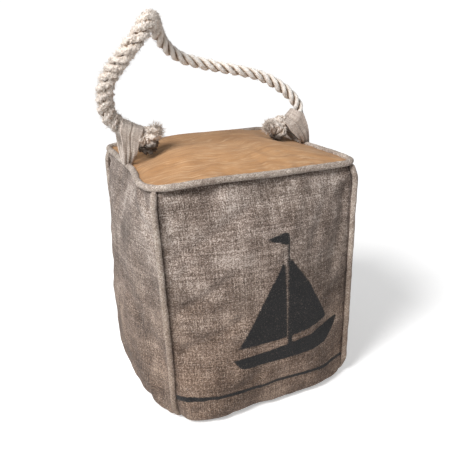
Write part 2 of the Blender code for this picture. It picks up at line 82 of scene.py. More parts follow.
low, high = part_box("top_piping_cord")
SEAM_Z = (low.z + high.z) / 2             # height of the top seam, at its piping's centre
CORD_RADIUS = (high.z - low.z) / 2        # filler cord inside every piping
HALF = high.x - CORD_RADIUS               # half the bag's width at the piping's centre
ROPE_DIAMETER = 0.013
LAY = 0.030                               # length in which a strand goes once round
YARNS = 7                                 # soft yarns twisted into each strand

# The rope's centre line from knot to knot, as x, y and the height above the top seam.

ROPE_ROUTE = (
    (-0.0772, 0.0000, 0.0270), (-0.0875, 0.0000, 0.0322), (-0.0970, -0.0010, 0.0380),
    (-0.1040, -0.0045, 0.0465), (-0.1075, -0.0100, 0.0575), (-0.1080, -0.0160, 0.0690),
    (-0.1045, -0.0230, 0.0815), (-0.0970, -0.0310, 0.0930), (-0.0880, -0.0380, 0.1050),
    (-0.0785, -0.0405, 0.1165), (-0.0695, -0.0300, 0.1245), (-0.0620, -0.0150, 0.1205),
    (-0.0550, -0.0040, 0.1100), (-0.0455, 0.0020, 0.0990), (-0.0330, 0.0050, 0.0905),
    (-0.0150, 0.0060, 0.0845), (0.0050, 0.0055, 0.0795), (0.0250, 0.0045, 0.0750),
    (0.0440, 0.0035, 0.0695), (0.0600, 0.0025, 0.0615), (0.0735, 0.0015, 0.0515),
    (0.0825, 0.0005, 0.0410), (0.0850, 0.0000, 0.0310), (0.0820, 0.0000, 0.0225),
)


def unit(vectors):
    """The same directions with length one."""
    return vectors / np.linalg.norm(vectors, axis=-1, keepdims=True)


def smooth_route(route, step):
    """Points one step apart on a centripetal Catmull-Rom curve through the route: between
    two of its points, three straight blends are blended twice more, with each weight in
    proportion to the nearness in t, which grows by the root of each gap."""
    pts = np.array(route)
    pts = np.vstack((2 * pts[0] - pts[1], pts, 2 * pts[-1] - pts[-2]))
    gaps = np.linalg.norm(np.diff(pts, axis=0), axis=1)
    knots = np.concatenate(([0.0], np.cumsum(gaps ** 0.5)))
    dense = []
    for k in range(1, len(pts) - 2):
        t0, t1, t2, t3 = knots[k - 1:k + 3]
        t = np.linspace(t1, t2, 24, endpoint=False)[:, None]
        a1 = (t1 - t) / (t1 - t0) * pts[k - 1] + (t - t0) / (t1 - t0) * pts[k]
        a2 = (t2 - t) / (t2 - t1) * pts[k] + (t - t1) / (t2 - t1) * pts[k + 1]
        a3 = (t3 - t) / (t3 - t2) * pts[k + 1] + (t - t2) / (t3 - t2) * pts[k + 2]
        b1 = (t2 - t) / (t2 - t0) * a1 + (t - t0) / (t2 - t0) * a2
        b2 = (t3 - t) / (t3 - t1) * a2 + (t - t1) / (t3 - t1) * a3
        dense.append((t2 - t) / (t2 - t1) * b1 + (t - t1) / (t2 - t1) * b2)
    dense = np.vstack(dense + [pts[-2:-1]])
    run = np.concatenate(([0.0], np.cumsum(np.linalg.norm(np.diff(dense, axis=0), axis=1))))
    marks = np.linspace(0.0, run[-1], int(round(run[-1] / step)) + 1)
    return np.stack([np.interp(marks, run, dense[:, axis]) for axis in range(3)], axis=1)


def carried(path, closed=False):
    """Distance along a path, its tangents, and a side direction carried along it: each
    side direction is the last one with its part along the new tangent taken away."""
    if closed:
        tangent = unit(np.roll(path, -1, axis=0) - np.roll(path, 1, axis=0))
    else:
        tangent = unit(np.gradient(path, axis=0))
    side = np.empty_like(path)
    last = np.cross(tangent[0], (0.3, 1.0, 0.2))
    for ring, along in enumerate(tangent):
        last = last - (last @ along) * along
        last /= np.linalg.norm(last)
        side[ring] = last
    gaps = np.linalg.norm(np.diff(path, axis=0), axis=1)
    return np.concatenate(([0.0], np.cumsum(gaps))), tangent, side


def uneven(places, wavelength, seed, waves=14):
    """A value of about -1 to 1 at each place: a sum of sine waves near one wavelength,
    with seeded directions and phases."""
    draw = np.random.default_rng(seed)
    ways = unit(draw.normal(size=(waves, 3)))
    ways *= (2 * np.pi / wavelength * draw.uniform(0.6, 1.5, waves))[:, None]
    total = np.sin(places @ ways.T + draw.uniform(0, 2 * np.pi, waves)).sum(-1)
    return total * (1.4 / waves) ** 0.5 / 1.6


def eased(value, start, end):
    """0 before start, 1 after end, and the smooth step 3t^2 - 2t^3 between."""
    t = np.clip((value - start) / (end - start), 0.0, 1.0)
    return t * t * (3 - 2 * t)


def grid_part(points, uv=None, ring=False, loop=False):
    """Points, quads and corner UVs of one or more grids. The last three axes of points are
    rows, columns and x, y, z; ring joins the last column to the first and loop the rows."""
    rows, columns = points.shape[-3:-1]
    flat = points.reshape(-1, 3)
    grids = len(flat) // (rows * columns)
    r = np.arange(rows if loop else rows - 1)[:, None]
    c = np.arange(columns if ring else columns - 1)[None, :]
    r2, c2 = (r + 1) % rows, (c + 1) % columns
    quads = np.stack((r * columns + c, r * columns + c2, r2 * columns + c2, r2 * columns + c), -1)
    quads = quads.reshape(-1, 4)
    quads = (quads[None] + np.arange(grids)[:, None, None] * rows * columns).reshape(-1, 4)
    if uv is None:
        return flat, quads, np.zeros((len(quads) * 4, 2))
    uv = uv.reshape(grids, -1, uv.shape[-2], 2)
    corners = np.stack((uv[:, r, c], uv[:, r, c + 1], uv[:, r + 1, c + 1], uv[:, r + 1, c]), 3)
    return flat, quads, corners.reshape(-1, 2)


def piece(name, parts, material=None, weld=False):
    """One mesh object from grid parts put end to end; weld closes the poles of its tubes."""
    counts = np.cumsum([0] + [len(p[0]) for p in parts])
    points = np.concatenate([p[0] for p in parts])
    quads = np.concatenate([p[1] + first for p, first in zip(parts, counts)])
    mesh = bpy.data.meshes.new(name)
    mesh.vertices.add(len(points))
    mesh.vertices.foreach_set("co", points.astype(np.float32).ravel())
    mesh.loops.add(quads.size)
    mesh.loops.foreach_set("vertex_index", quads.astype(np.int32).ravel())
    mesh.polygons.add(len(quads))
    mesh.polygons.foreach_set("loop_start", np.arange(0, quads.size, 4, dtype=np.int32))
    uv = np.concatenate([p[2] for p in parts]).astype(np.float32)
    mesh.uv_layers.new(name="surface").data.foreach_set("uv", uv.ravel())
    mesh.update(calc_edges=True)
    if weld:
        merged = bmesh.new()
        merged.from_mesh(mesh)
        bmesh.ops.remove_doubles(merged, verts=merged.verts, dist=2e-6)
        merged.to_mesh(mesh)
        merged.free()
    mesh.shade_smooth()
    made = bpy.data.objects.new(name, mesh)
    scene.collection.objects.link(made)
    if material:
        mesh.materials.append(material)
    return made


def mark(obj, name, values):
    """Gives every point of a mesh a number that its material reads."""
    layer = obj.data.attributes.new(name, 'FLOAT', 'POINT')
    layer.data.foreach_set("value", np.asarray(values, np.float32).ravel())


def closed_ends(rows, taper=3):
    """A share for each row of a tube that brings both ends in to a pole."""
    share = np.ones(rows)
    rounded = np.sqrt(1 - np.linspace(1.0, 0.0, taper + 1) ** 2)[:-1]
    share[:taper] = rounded
    share[-taper:] = rounded[::-1]
    return share


def laid_rope(path, radius, wear, lay=LAY, seed=1, sides=30, closed=False):
    """Grid part of a three-strand rope, and how deep in the rope each point lies. A strand's
    centre goes round the path once in each lay; the strand is a tube whose radius dips
    between its yarns, and the yarns lean the other way, nearly in line with the rope. Wear
    swells and mats the strands, so the hollows between them close up unevenly."""
    run, tangent, side = carried(path, closed)
    if closed:
        lay = run[-1] / max(1, round(run[-1] / lay))
    other = np.cross(tangent, side)
    rows = len(path)
    radius = np.broadcast_to(radius, (rows,))[None, :, None]
    wear = np.broadcast_to(wear, (rows,))[None, :, None]

    # The three strands' centres, which wander a little where the rope is worn.
    turn = 2 * np.pi * run / lay + 2 * np.pi / 3 * np.arange(3)[:, None]
    turn = turn + 0.55 * wear[..., 0] * uneven(path * (1 - closed), 0.045, seed)
    outward = np.cos(turn)[..., None] * side + np.sin(turn)[..., None] * other
    centre = path + 0.50 * radius * outward

    # Each strand is a tube with a dip between its yarns, filled in by wear.
    angle = np.linspace(0, 2 * np.pi, sides, endpoint=False)
    yarn = YARNS * (angle + 0.9 * turn[..., None]) / 2
    dip = 1 - 0.17 * (1 - np.abs(np.sin(yarn))) ** 1.5
    around = np.cos(angle)[:, None] * side[:, None] + np.sin(angle)[:, None] * other[:, None]
    dip = dip * (1 - 0.4 * wear) + 0.4 * wear
    thick = radius * (0.53 + 0.05 * wear) * dip * (1 if closed else closed_ends(rows)[None, :, None])
    points = centre[:, :, None] + thick[..., None] * around[None]

    # Unevenness at three sizes; the two finer ones are the matting.
    ragged = uneven(points, 0.006, seed) * 0.05 + uneven(points, 0.0034, seed + 9) * 0.15 * wear
    ragged += uneven(points, 0.0018, seed + 10) * 0.11 * wear
    points += (ragged * radius)[..., None] * around[None]
    depth = np.linalg.norm(points - path[:, None], axis=-1) / radius
    columns = np.linspace(0, 1, sides + 1)
    uv = np.stack(np.broadcast_arrays(
        YARNS * (columns + 0.9 * turn[..., None] / (2 * np.pi)), run[:, None] * 100), -1)
    if closed:
        uv = np.concatenate((uv, uv[:, -1:]), axis=1)
    return grid_part(points, uv, ring=True, loop=closed), depth


def hairs(base, way, length, thickness, seed, curl=0.5):
    """Grid part of loose fibres: thin three-sided tubes from each base along its way,
    bent sideways by the square of the distance along them and tapering to a point."""
    draw = np.random.default_rng(seed)
    count = len(base)
    t = np.linspace(0, 1, 5)[None, :, None]
    bend = draw.normal(size=(count, 1, 3)) * curl
    wave = draw.normal(size=(count, 1, 3)) * 0.12 * np.sin(6 * t)
    length = length[:, None, None]
    line = base[:, None] + way[:, None] * length * t + (bend * t * t + wave * t) * length
    side = unit(np.cross(way, draw.normal(size=(count, 3))))
    other = np.cross(way, side)
    angle = 2 * np.pi / 3 * np.arange(3)
    ring = np.cos(angle)[:, None] * side[:, None] + np.sin(angle)[:, None] * other[:, None]
    width = thickness * (1 - 0.85 * t[..., None] ** 2)
    width[:, 0] = width[:, -1] = 0.0
    points = line[:, :, None] + width * ring[:, None]
    return grid_part(points, ring=True)


def add(tree, kind, inputs=None, **settings):
    """Adds a node, sets its settings, and links or sets the inputs named."""
    made = tree.nodes.new(kind)
    for name, value in settings.items():
        setattr(made, name, value)
    for name, value in (inputs or {}).items():
        if isinstance(value, bpy.types.NodeSocket):
            tree.links.new(value, made.inputs[name])
        else:
            made.inputs[name].default_value = value
    return made


def sums(tree, operation, *values):
    """The output of one Math node."""
    return add(tree, "ShaderNodeMath", dict(enumerate(values)), operation=operation).outputs[0]


def between(tree, share, first, second, blend='MIX'):
    """The output of a colour Mix node; colours are three numbers or sockets."""
    first, second = [(*c, 1.0) if isinstance(c, tuple) else c for c in (first, second)]
    made = add(tree, "ShaderNodeMix", {0: share, 6: first, 7: second},
               data_type='RGBA', blend_type=blend)
    return made.outputs[2]


def ramp(tree, value, *stops):
    """The colour of a ramp at a value; each stop is a place and a colour."""
    made = add(tree, "ShaderNodeValToRGB", {"Fac": value})
    stretch = made.color_ramp.elements
    while len(stretch) < len(stops):
        stretch.new(0.5)
    for element, (place, colour) in zip(stretch, stops):
        element.position = place
        element.color = (*colour, 1.0)
    return made.outputs["Color"]


def steps(tree, value, low, high):
    """0 below low and 1 above high, smooth between."""
    made = add(tree, "ShaderNodeMapRange", {"Value": value, "From Min": low, "From Max": high},
               interpolation_type='SMOOTHSTEP')
    return made.outputs["Result"]


def noise(tree, vector, scale, detail=2.0, rough=0.5):
    """The value of a noise texture."""
    made = add(tree, "ShaderNodeTexNoise", {
        "Vector": vector, "Scale": scale, "Detail": detail, "Roughness": rough})
    return made.outputs["Fac"]


def new_material(name, roughness, sheen=0.0, specular=0.5):
    """An empty material with its Principled shader; returns material, tree and shader."""
    made = bpy.data.materials.new(name)
    made.use_nodes = True
    tree = made.node_tree
    shader = tree.nodes["Principled BSDF"]
    shader.inputs["Roughness"].default_value = roughness
    shader.inputs["Sheen Weight"].default_value = sheen
    shader.inputs["Sheen Roughness"].default_value = 0.6
    shader.inputs["Specular IOR Level"].default_value = specular
    return made, tree, shader


def bump(tree, shader, height, distance, strength=1.0):
    """Raises the surface by a height in metres times the distance."""
    made = add(tree, "ShaderNodeBump", {
        "Height": height, "Distance": distance, "Strength": strength})
    tree.links.new(made.outputs["Normal"], shader.inputs["Normal"])


def new_group(name, inputs, outputs):
    """An empty node group; inputs and outputs are names and socket kinds."""
    group = bpy.data.node_groups.new(name, "ShaderNodeTree")
    for socket, kind in inputs:
        group.interface.new_socket(socket, in_out='INPUT', socket_type="NodeSocket" + kind)
    for socket, kind in outputs:
        group.interface.new_socket(socket, in_out='OUTPUT', socket_type="NodeSocket" + kind)
    return group, group.nodes.new("NodeGroupInput"), group.nodes.new("NodeGroupOutput")


def placed(tree, group, inputs):
    """Places a node group in a material with its own values."""
    return add(tree, "ShaderNodeGroup", inputs, node_tree=group)


def handling_group():
    """Wear and dirt of something often handled: broad cloudy patches, small stains and fine
    specks, each a mask from 0 to 1, at sizes that follow one scale."""
    group, given, gives = new_group("handling_wear", [("Vector", "Vector"), ("Scale", "Float")],
                                    [("Clouds", "Float"), ("Stains", "Float"), ("Specks", "Float")])
    place, scale = given.outputs["Vector"], given.outputs["Scale"]
    broad = noise(group, place, sums(group, 'MULTIPLY', scale, 12.0), 4.0)
    small = noise(group, place, sums(group, 'MULTIPLY', scale, 55.0), 5.0, 0.65)
    fine = noise(group, place, sums(group, 'MULTIPLY', scale, 700.0), 2.0)
    clouds = steps(group, broad, 0.36, 0.66)
    stains = steps(group, small, 0.56, 0.74)
    specks = steps(group, fine, 0.60, 0.76)
    for name, value in (("Clouds", clouds), ("Stains", stains), ("Specks", specks)):
        group.links.new(value, gives.inputs[name])
    return group


HANDLING = handling_group()


def rope_material(name, clean, worn):
    """Soft cotton and jute: yarn lines and fibre streaks along each yarn, pale on the outside
    with painted shade that darkens the hollows between strands to brown, dirtier where it is worn."""
    material, tree, shader = new_material(name, 0.95, sheen=0.12, specular=0.12)
    place = add(tree, "ShaderNodeTexCoord").outputs["Object"]
    uv = add(tree, "ShaderNodeUVMap", uv_map="surface").outputs["UV"]
    depth = add(tree, "ShaderNodeAttribute", attribute_name="depth").outputs["Fac"]
    wear = add(tree, "ShaderNodeAttribute", attribute_name="wear").outputs["Fac"]
    dirt = placed(tree, HANDLING, {"Vector": place, "Scale": 3.0})
    streak_place = add(tree, "ShaderNodeMapping", {"Vector": uv, "Scale": (3.0, 1.2, 1.0)})
    streaks = noise(tree, streak_place.outputs["Vector"], 3.0, 4.0, 0.7)
    # Painted shade: the deeper a point lies in the rope, the darker and browner its colour.
    hollow = ramp(tree, depth, (0.48, (0.20, 0.13, 0.09)), (0.66, (0.50, 0.40, 0.31)),
                  (0.80, (0.92, 0.89, 0.86)), (0.95, (1.0, 1.0, 1.0)))
    body = between(tree, wear, clean, worn)
    body = between(tree, steps(tree, streaks, 0.35, 0.75), body,
                   between(tree, 0.40, body, (0.42, 0.31, 0.22)))
    body = between(tree, sums(tree, 'MULTIPLY', dirt.outputs["Stains"], wear), body,
                   (0.30, 0.21, 0.15))
    matted = steps(tree, noise(tree, place, 640.0, 4.0, 0.75), 0.48, 0.60)
    body = between(tree, sums(tree, 'MULTIPLY', matted, sums(tree, 'MULTIPLY', wear, 0.70)),
                   body, (0.33, 0.24, 0.17))
    body = between(tree, sums(tree, 'MULTIPLY', dirt.outputs["Specks"], 0.45), body,
                   (0.22, 0.15, 0.10))
    body = between(tree, 1.0, body, hollow, 'MULTIPLY')
    # Painted shade: the underside of each knot is darkened nearly to black.
    underside_shade = add(tree, "ShaderNodeAttribute", attribute_name="underside_shade").outputs["Fac"]
    underside_shaded = steps(tree, sums(tree, 'ADD', underside_shade, noise(tree, place, 300.0, 3.0, 0.6)), 0.62, 1.10)
    body = between(tree, sums(tree, 'MULTIPLY', underside_shaded, 0.92), body, (0.040, 0.028, 0.020))
    tree.links.new(body, shader.inputs["Base Color"])
    fuzz = noise(tree, place, 1500.0, 3.0, 0.6)
    bump(tree, shader, sums(tree, 'ADD', sums(tree, 'MULTIPLY', streaks, 0.8), fuzz), 0.0009, 0.8)
    return material


rope_path = smooth_route(ROPE_ROUTE, 0.00075) + np.array((0.0, 0.0, SEAM_Z))
rope_run = carried(rope_path)[0]
rope_length = rope_run[-1]
share = rope_run / rope_length
rope_wear = 1 - eased(share, 0.34, 0.62)
rope_radius = ROPE_DIAMETER / 2 * (0.80 + 0.21 * rope_wear)
rope_radius *= 1 + 0.05 * uneven(rope_path, 0.05, 7)
rope_part, rope_depth = laid_rope(rope_path, rope_radius, rope_wear, seed=3)
ROPE_MATERIAL = rope_material("twisted_rope", (0.97, 0.93, 0.88), (0.90, 0.82, 0.75))
rope = piece("handle_rope_laid", [rope_part], ROPE_MATERIAL)
mark(rope, "depth", rope_depth)
mark(rope, "wear", np.broadcast_to(rope_wear[None, :, None], rope_depth.shape))
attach(rope, "handle")
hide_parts("handle_rope")

# Loose fibres stand off the rope everywhere, longest and thickest on the worn left leg.

FIBRES = 5200
draw = np.random.default_rng(11)
spot = draw.choice(len(rope_path), FIBRES, p=(0.25 + rope_wear) / (0.25 + rope_wear).sum())
run, tangent, side = carried(rope_path)
angle = draw.uniform(0, 2 * np.pi, FIBRES)[:, None]
outward = np.cos(angle) * side[spot] + np.sin(angle) * np.cross(tangent, side)[spot]
base = rope_path[spot] + outward * (rope_radius[spot] * 0.90)[:, None]
way = unit(outward + draw.normal(size=(FIBRES, 3)) * 0.5
           + tangent[spot] * draw.uniform(-2.4, 2.4, (FIBRES, 1)))
long = draw.uniform(0.001, 0.0034, FIBRES) * (0.45 + 0.95 * rope_wear[spot])
fibres = piece("handle_rope_fibres", [hairs(base, way, long, 0.00013, 12, 0.4)], ROPE_MATERIAL,
               weld=True)
mark(fibres, "depth", np.ones(len(fibres.data.vertices)))
mark(fibres, "wear", np.full(len(fibres.data.vertices), 0.3))
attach(fibres, "handle")

# ---- Rope knots -------------------------------------------------------------------------
# Each end of the rope is tied in an overhand knot that is too big for its fabric loop, and
# its cut tail has come apart into a tuft of fibres.

KNOT_LAY = 0.026              # the lay is a little shorter where the rope is pulled tight
TUFT_FIBRES = 900             # at the cut end of each tail
STRAY_FIBRES = 1500           # standing off each knot


def knot_path(centre, size, turned, count=300):
    """The closed line of an overhand knot, x = sin t + 2 sin 2t, y = cos t - 2 cos 2t and
    z = -sin 3t, scaled, turned by a matrix and put at the centre."""
    t = np.linspace(0, 2 * np.pi, count, endpoint=False)
    line = np.stack((np.sin(t) + 2 * np.sin(2 * t), np.cos(t) - 2 * np.cos(2 * t),
                     -1.25 * np.sin(3 * t)), axis=1)
    return np.array(centre) + (line * size) @ np.array(turned).T


def tuft(centre, way, count, spread, length, radius, seed):
    """Loose fibres of a cut end: bases over a disc, directions spread round one way."""
    draw = np.random.default_rng(seed)
    base = np.array(centre) + draw.normal(size=(count, 3)) * radius * 0.45
    ways = unit(np.array(way) + draw.normal(size=(count, 3)) * spread)
    return hairs(base, ways, draw.uniform(0.45, 1.0, count) * length, 0.00022, seed + 1, 0.35)


def make_knot(name, node, centre, size, turned, rope, tail, wear, underside_shade, seed):
    """The knot's laid rope, its tail stub and the tuft of its cut end, as one piece."""
    line = knot_path(centre, size, turned)
    body, depth = laid_rope(line, rope, wear, lay=KNOT_LAY, seed=seed, sides=20, closed=True)
    stub_line = smooth_route(tail, 0.0007)
    stub, stub_depth = laid_rope(stub_line, rope * 1.05, wear, lay=KNOT_LAY, seed=seed + 1, sides=20)
    ends = unit(stub_line[-1] - stub_line[-6])
    cut = stub_line[-1] - ends * 0.003
    loose = tuft(cut, ends, TUFT_FIBRES, 0.60, 0.0060, rope, seed + 2)
    draw = np.random.default_rng(seed + 3)
    root = body[0][draw.choice(len(body[0]), STRAY_FIBRES)]
    away = unit(root - np.array(centre) + draw.normal(size=root.shape) * 0.006)
    long = draw.uniform(0.001, 0.0035, STRAY_FIBRES)
    stray = hairs(root - away * 0.0005, away, long, 0.00013, seed + 4)
    made = piece(name, [body, stub, loose, stray], ROPE_MATERIAL)
    # The loose fibres get one depth, which the painted shade reads as a little darker than the rope's
    # outside.
    values = np.concatenate((depth.ravel(), stub_depth.ravel(),
                             np.full(len(loose[0]) + len(stray[0]), 0.84)))
    mark(made, "depth", values)
    mark(made, "wear", np.full(len(values), wear))
    below = np.concatenate([part[0] for part in (body, stub, loose, stray)]) - np.array(centre)
    # Painted shade, strongest on the knot's lower side and towards the right and back.
    mark(made, "underside_shade", underside_shade * eased(below @ np.array((0.35, 0.25, -1.0)), -0.004, 0.010))
    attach(made, "handle")
    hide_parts(node)
    return made


# Each knot is pulled up against its loop, and its tail comes out towards the front.

# The left knot's underside gets the full painted shade and the right one's a little less.
low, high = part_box("left_rope_knot")
left_centre = np.array((low + high) / 2)
left_centre += np.array((-0.0062, -0.0008, 0.0012))
left_tail = left_centre + np.array((
    (0.0000, -0.0030, 0.0010), (0.0030, -0.0060, 0.0040),
    (0.0060, -0.0070, 0.0060), (0.0090, -0.0070, 0.0080)))
facing_left = Matrix.Rotation(math.radians(70), 3, 'X') @ Matrix.Rotation(math.radians(20), 3, 'Y')
left_knot = make_knot("left_knot_laid", "left_rope_knot", left_centre, 0.0026, facing_left,
                      0.0058, left_tail, wear=1.0, underside_shade=1.0, seed=21)
low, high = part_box("right_rope_knot")
right_centre = np.array((low + high) / 2)
right_centre += np.array((-0.0016, 0.0000, 0.0006))
right_tail = right_centre + np.array((
    (0.0060, -0.0030, -0.0010), (-0.0010, -0.0040, 0.0010),
    (-0.0070, -0.0040, 0.0020), (-0.0130, -0.0050, 0.0025)))
facing_right = Matrix.Rotation(math.radians(62), 3, 'X') @ Matrix.Rotation(math.radians(-24), 3, 'Y')
right_knot = make_knot("right_knot_laid", "right_rope_knot", right_centre, 0.0025, facing_right,
                       0.0053, right_tail, wear=0.85, underside_shade=0.75, seed=31)

# The rope leaves the bag through the left loop, whose hole is this far above the seam.

HOLE_HEIGHT = 0.0322
low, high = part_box("left_rope_loop")

# ---- Side panels ------------------------------------------------------------------------
# Four squares of washed hemp canvas, sewn to the pipings and pushed out by the sand, which
# sinks to the bottom: each is flat under the top seam and full above the floor.

ROLL_RADIUS = 0.0085          # the canvas rolls under the bag on this radius
CORNER = 0.0030               # radius of the plan's corners half-way up
TOP_CORNER = 0.0095           # what it gains at the top seam
FLOOR_CORNER = 0.0120         # what it gains at the floor
BASE_SHARE = 0.985            # width at the floor, as a share of the plain block's
WIDENING = 0.022              # what that share gains on the way up
LEFT_BELLY, RIGHT_BELLY = 0.0048, 0.0030      # bulges at the side seams' front ends
SEAM_RISE, CORNER_RISE = 0.0016, 0.0008       # rises of the top seam at the front
CANVAS = 0.0012               # thickness
ACROSS, UPWARD = 73, 89       # grid points across and up a panel
PUSH_FRAMES = 20              # steps in which the filling pushes a panel out


def slump(places):
    """Where a point of the plain upright block goes in the full bag. The plan draws in
    towards the floor, its corners are round at the top seam and at the floor, the front
    ends of the two side seams belly out, and the front seam rises left of its middle."""
    x, y, z = np.moveaxis(places, -1, 0)
    height = z / SEAM_Z

    # A point past the centre of its corner's circle is moved in on to that circle.
    corner = CORNER + TOP_CORNER * eased(height, 0.93, 1.0)
    corner += FLOOR_CORNER * (1 - eased(height, 0.0, 0.10))
    p = np.abs(x) - (HALF - corner)
    q = np.abs(y) - (HALF - corner)
    inside = np.minimum(p, q) > 0
    safe = np.where(inside, np.hypot(p, q), 1.0)
    draw_in = np.where(inside, np.maximum(p, q) / safe, 1.0)
    x = np.where(inside, np.sign(x) * (HALF - corner + p * draw_in), x)
    y = np.where(inside, np.sign(y) * (HALF - corner + q * draw_in), y)

    # The plan narrows downwards, and near the floor it rolls in on a quarter of a circle.
    above = np.clip(height, 0.0, 1.0)
    scale = BASE_SHARE + WIDENING * (1 - (1 - above) ** 2)
    under = np.clip(ROLL_RADIUS - z, 0.0, ROLL_RADIUS)
    roll = ROLL_RADIUS - np.sqrt(ROLL_RADIUS ** 2 - under ** 2)
    x = x * (scale - roll / HALF)
    y = y * (scale - roll / HALF)

    # Bells of extra width at the front ends of the side seams.
    ahead = eased(-y, 0.0, 0.09)
    at_left = eased(-x, 0.02, 0.088)
    at_right = eased(x, 0.02, 0.088)
    near_top = eased(height, 0.70, 1.0)
    x = x - at_left * 0.0022 * ahead * eased(height, 0.2, 0.8)
    x = x - LEFT_BELLY * np.exp(-((y + 0.064) / 0.027) ** 2) * near_top * at_left
    x = x + RIGHT_BELLY * np.exp(-((y + 0.056) / 0.028) ** 2) * near_top * at_right

    # Bells of extra height along the front seam and at its left corner.
    at_front = eased(-y, 0.055, 0.088)
    z = z + SEAM_RISE * np.exp(-((x + 0.046) / 0.040) ** 2) * at_front * near_top
    off_corner = (x + 0.092) ** 2 + (y + 0.090) ** 2
    z = z + CORNER_RISE * np.exp(-off_corner / 0.017 ** 2) * near_top
    return np.stack((x, y, z), axis=-1)


def crease(across, height, start, end, depth, width):
    """Depth of a soft fold along a straight line on a panel: a bell curve of the distance
    from the line, whose ends die away."""
    ax, ay = start
    bx, by = end[0] - ax, end[1] - ay
    along = ((across - ax) * bx + (height - ay) * by) / (bx * bx + by * by)
    reach = np.clip(along, 0, 1)
    away = np.hypot(across - ax - reach * bx, height - ay - reach * by)
    return depth * np.exp(-(away / width) ** 2)


def pushed_out(name, points, push, growth, limit):
    """The panel's points after its filling has pushed it out: cloth with its edges held, a
    little larger than the frame it is sewn to, under a steady pressure from inside. No
    point goes further than the limit."""
    rows, columns = points.shape[:2]
    panel = piece(name, [grid_part(points)])
    index = np.arange(rows * columns).reshape(rows, columns)
    edge = np.unique(np.concatenate((index[0], index[-1], index[:, 0], index[:, -1])))
    panel.vertex_groups.new(name="sewn").add(edge.tolist(), 1.0, 'REPLACE')
    cloth = panel.modifiers.new("Cloth", 'CLOTH')
    cloth.settings.quality = 5
    cloth.settings.vertex_group_mass = "sewn"
    cloth.settings.tension_stiffness = 25.0
    cloth.settings.compression_stiffness = 10.0
    cloth.settings.shear_stiffness = 8.0
    cloth.settings.bending_stiffness = 0.12
    cloth.settings.shrink_min = -growth
    cloth.settings.use_pressure = True
    cloth.settings.uniform_pressure_force = push
    cloth.settings.effector_weights.gravity = 0.0
    cloth.collision_settings.use_collision = False
    cloth.point_cache.frame_start = 1
    cloth.point_cache.frame_end = PUSH_FRAMES
    for step in range(1, PUSH_FRAMES + 1):
        scene.frame_set(step)
    settled = panel.evaluated_get(bpy.context.evaluated_depsgraph_get()).data
    moved = np.empty(rows * columns * 3, np.float32)
    settled.vertices.foreach_get("co", moved)
    shift = moved.reshape(points.shape).astype(float) - points
    far = np.linalg.norm(shift, axis=-1, keepdims=True)
    bpy.data.objects.remove(panel)
    scene.frame_set(1)
    return points + shift * np.minimum(1.0, limit / np.maximum(far, 1e-9))


def weave_group():
    """Plain weave on a surface's own UV map, in metres. Threads are round ridges that pass
    over and under by turns; every thread has its own tone, and slubs run along it."""
    group, given, gives = new_group(
        "plain_weave", [("Vector", "Vector"), ("Pitch", "Float")],
        [("Height", "Float"), ("Thread", "Float"), ("Slub", "Float")])
    over = add(group, "ShaderNodeVectorMath", {0: given.outputs["Vector"]}, operation='SCALE')
    group.links.new(sums(group, 'DIVIDE', 1.0, given.outputs["Pitch"]), over.inputs["Scale"])
    drift = add(group, "ShaderNodeTexNoise", {"Vector": over.outputs[0], "Scale": 0.35, "Detail": 1.0})
    spread = add(group, "ShaderNodeVectorMath", {0: drift.outputs["Color"], "Scale": 0.7},
                 operation='SCALE')
    place = add(group, "ShaderNodeVectorMath", {0: over.outputs[0], 1: spread.outputs[0]},
                operation='ADD')
    parts = add(group, "ShaderNodeSeparateXYZ", {0: place.outputs[0]})
    u, v = parts.outputs[0], parts.outputs[1]
    column, row = sums(group, 'FLOOR', u), sums(group, 'FLOOR', v)
    parity = sums(group, 'PINGPONG', sums(group, 'ADD', column, row), 1.0)

    def thread(across, along, flip):
        """Height of one set of threads, |sin(pi a)| (0.6 |sin(pi b)| share + 0.4): round
        across, and high on every other crossing."""
        wave = sums(group, 'SINE', sums(group, 'MULTIPLY', across, math.pi))
        round_top = sums(group, 'ABSOLUTE', wave)
        arch = sums(group, 'ABSOLUTE', sums(group, 'SINE', sums(group, 'MULTIPLY', along, math.pi)))
        share = sums(group, 'ABSOLUTE', sums(group, 'SUBTRACT', parity, flip))
        lift = sums(group, 'MULTIPLY_ADD', sums(group, 'MULTIPLY', arch, share), 0.6, 0.4)
        return sums(group, 'MULTIPLY', round_top, lift)

    warp, weft = thread(u, v, 0.0), thread(v, u, 1.0)
    height = sums(group, 'MAXIMUM', warp, weft)
    is_warp = sums(group, 'GREATER_THAN', warp, weft)
    tones = []
    for number, stretch in ((column, (1.0, 0.09, 1.0)), (row, (0.09, 1.0, 1.0))):
        own = add(group, "ShaderNodeTexWhiteNoise", {"W": number}, noise_dimensions='1D')
        along = add(group, "ShaderNodeMapping", {"Vector": place.outputs[0], "Scale": stretch})
        slub = noise(group, along.outputs["Vector"], 1.0, 2.0)
        tones.append((own.outputs["Value"], slub))
    for name, pair in (("Thread", 0), ("Slub", 1)):
        chosen = add(group, "ShaderNodeMix", {0: is_warp, 2: tones[1][pair], 3: tones[0][pair]})
        group.links.new(chosen.outputs[0], gives.inputs[name])
    group.links.new(height, gives.inputs["Height"])
    return group


WEAVE = weave_group()
PITCH = 0.0009                # from one thread to the next
DARK_THREAD = (0.065, 0.045, 0.034)
MID_THREAD = (0.245, 0.187, 0.153)
LIGHT_THREAD = (0.68, 0.60, 0.54)
INK = (0.012, 0.012, 0.013)


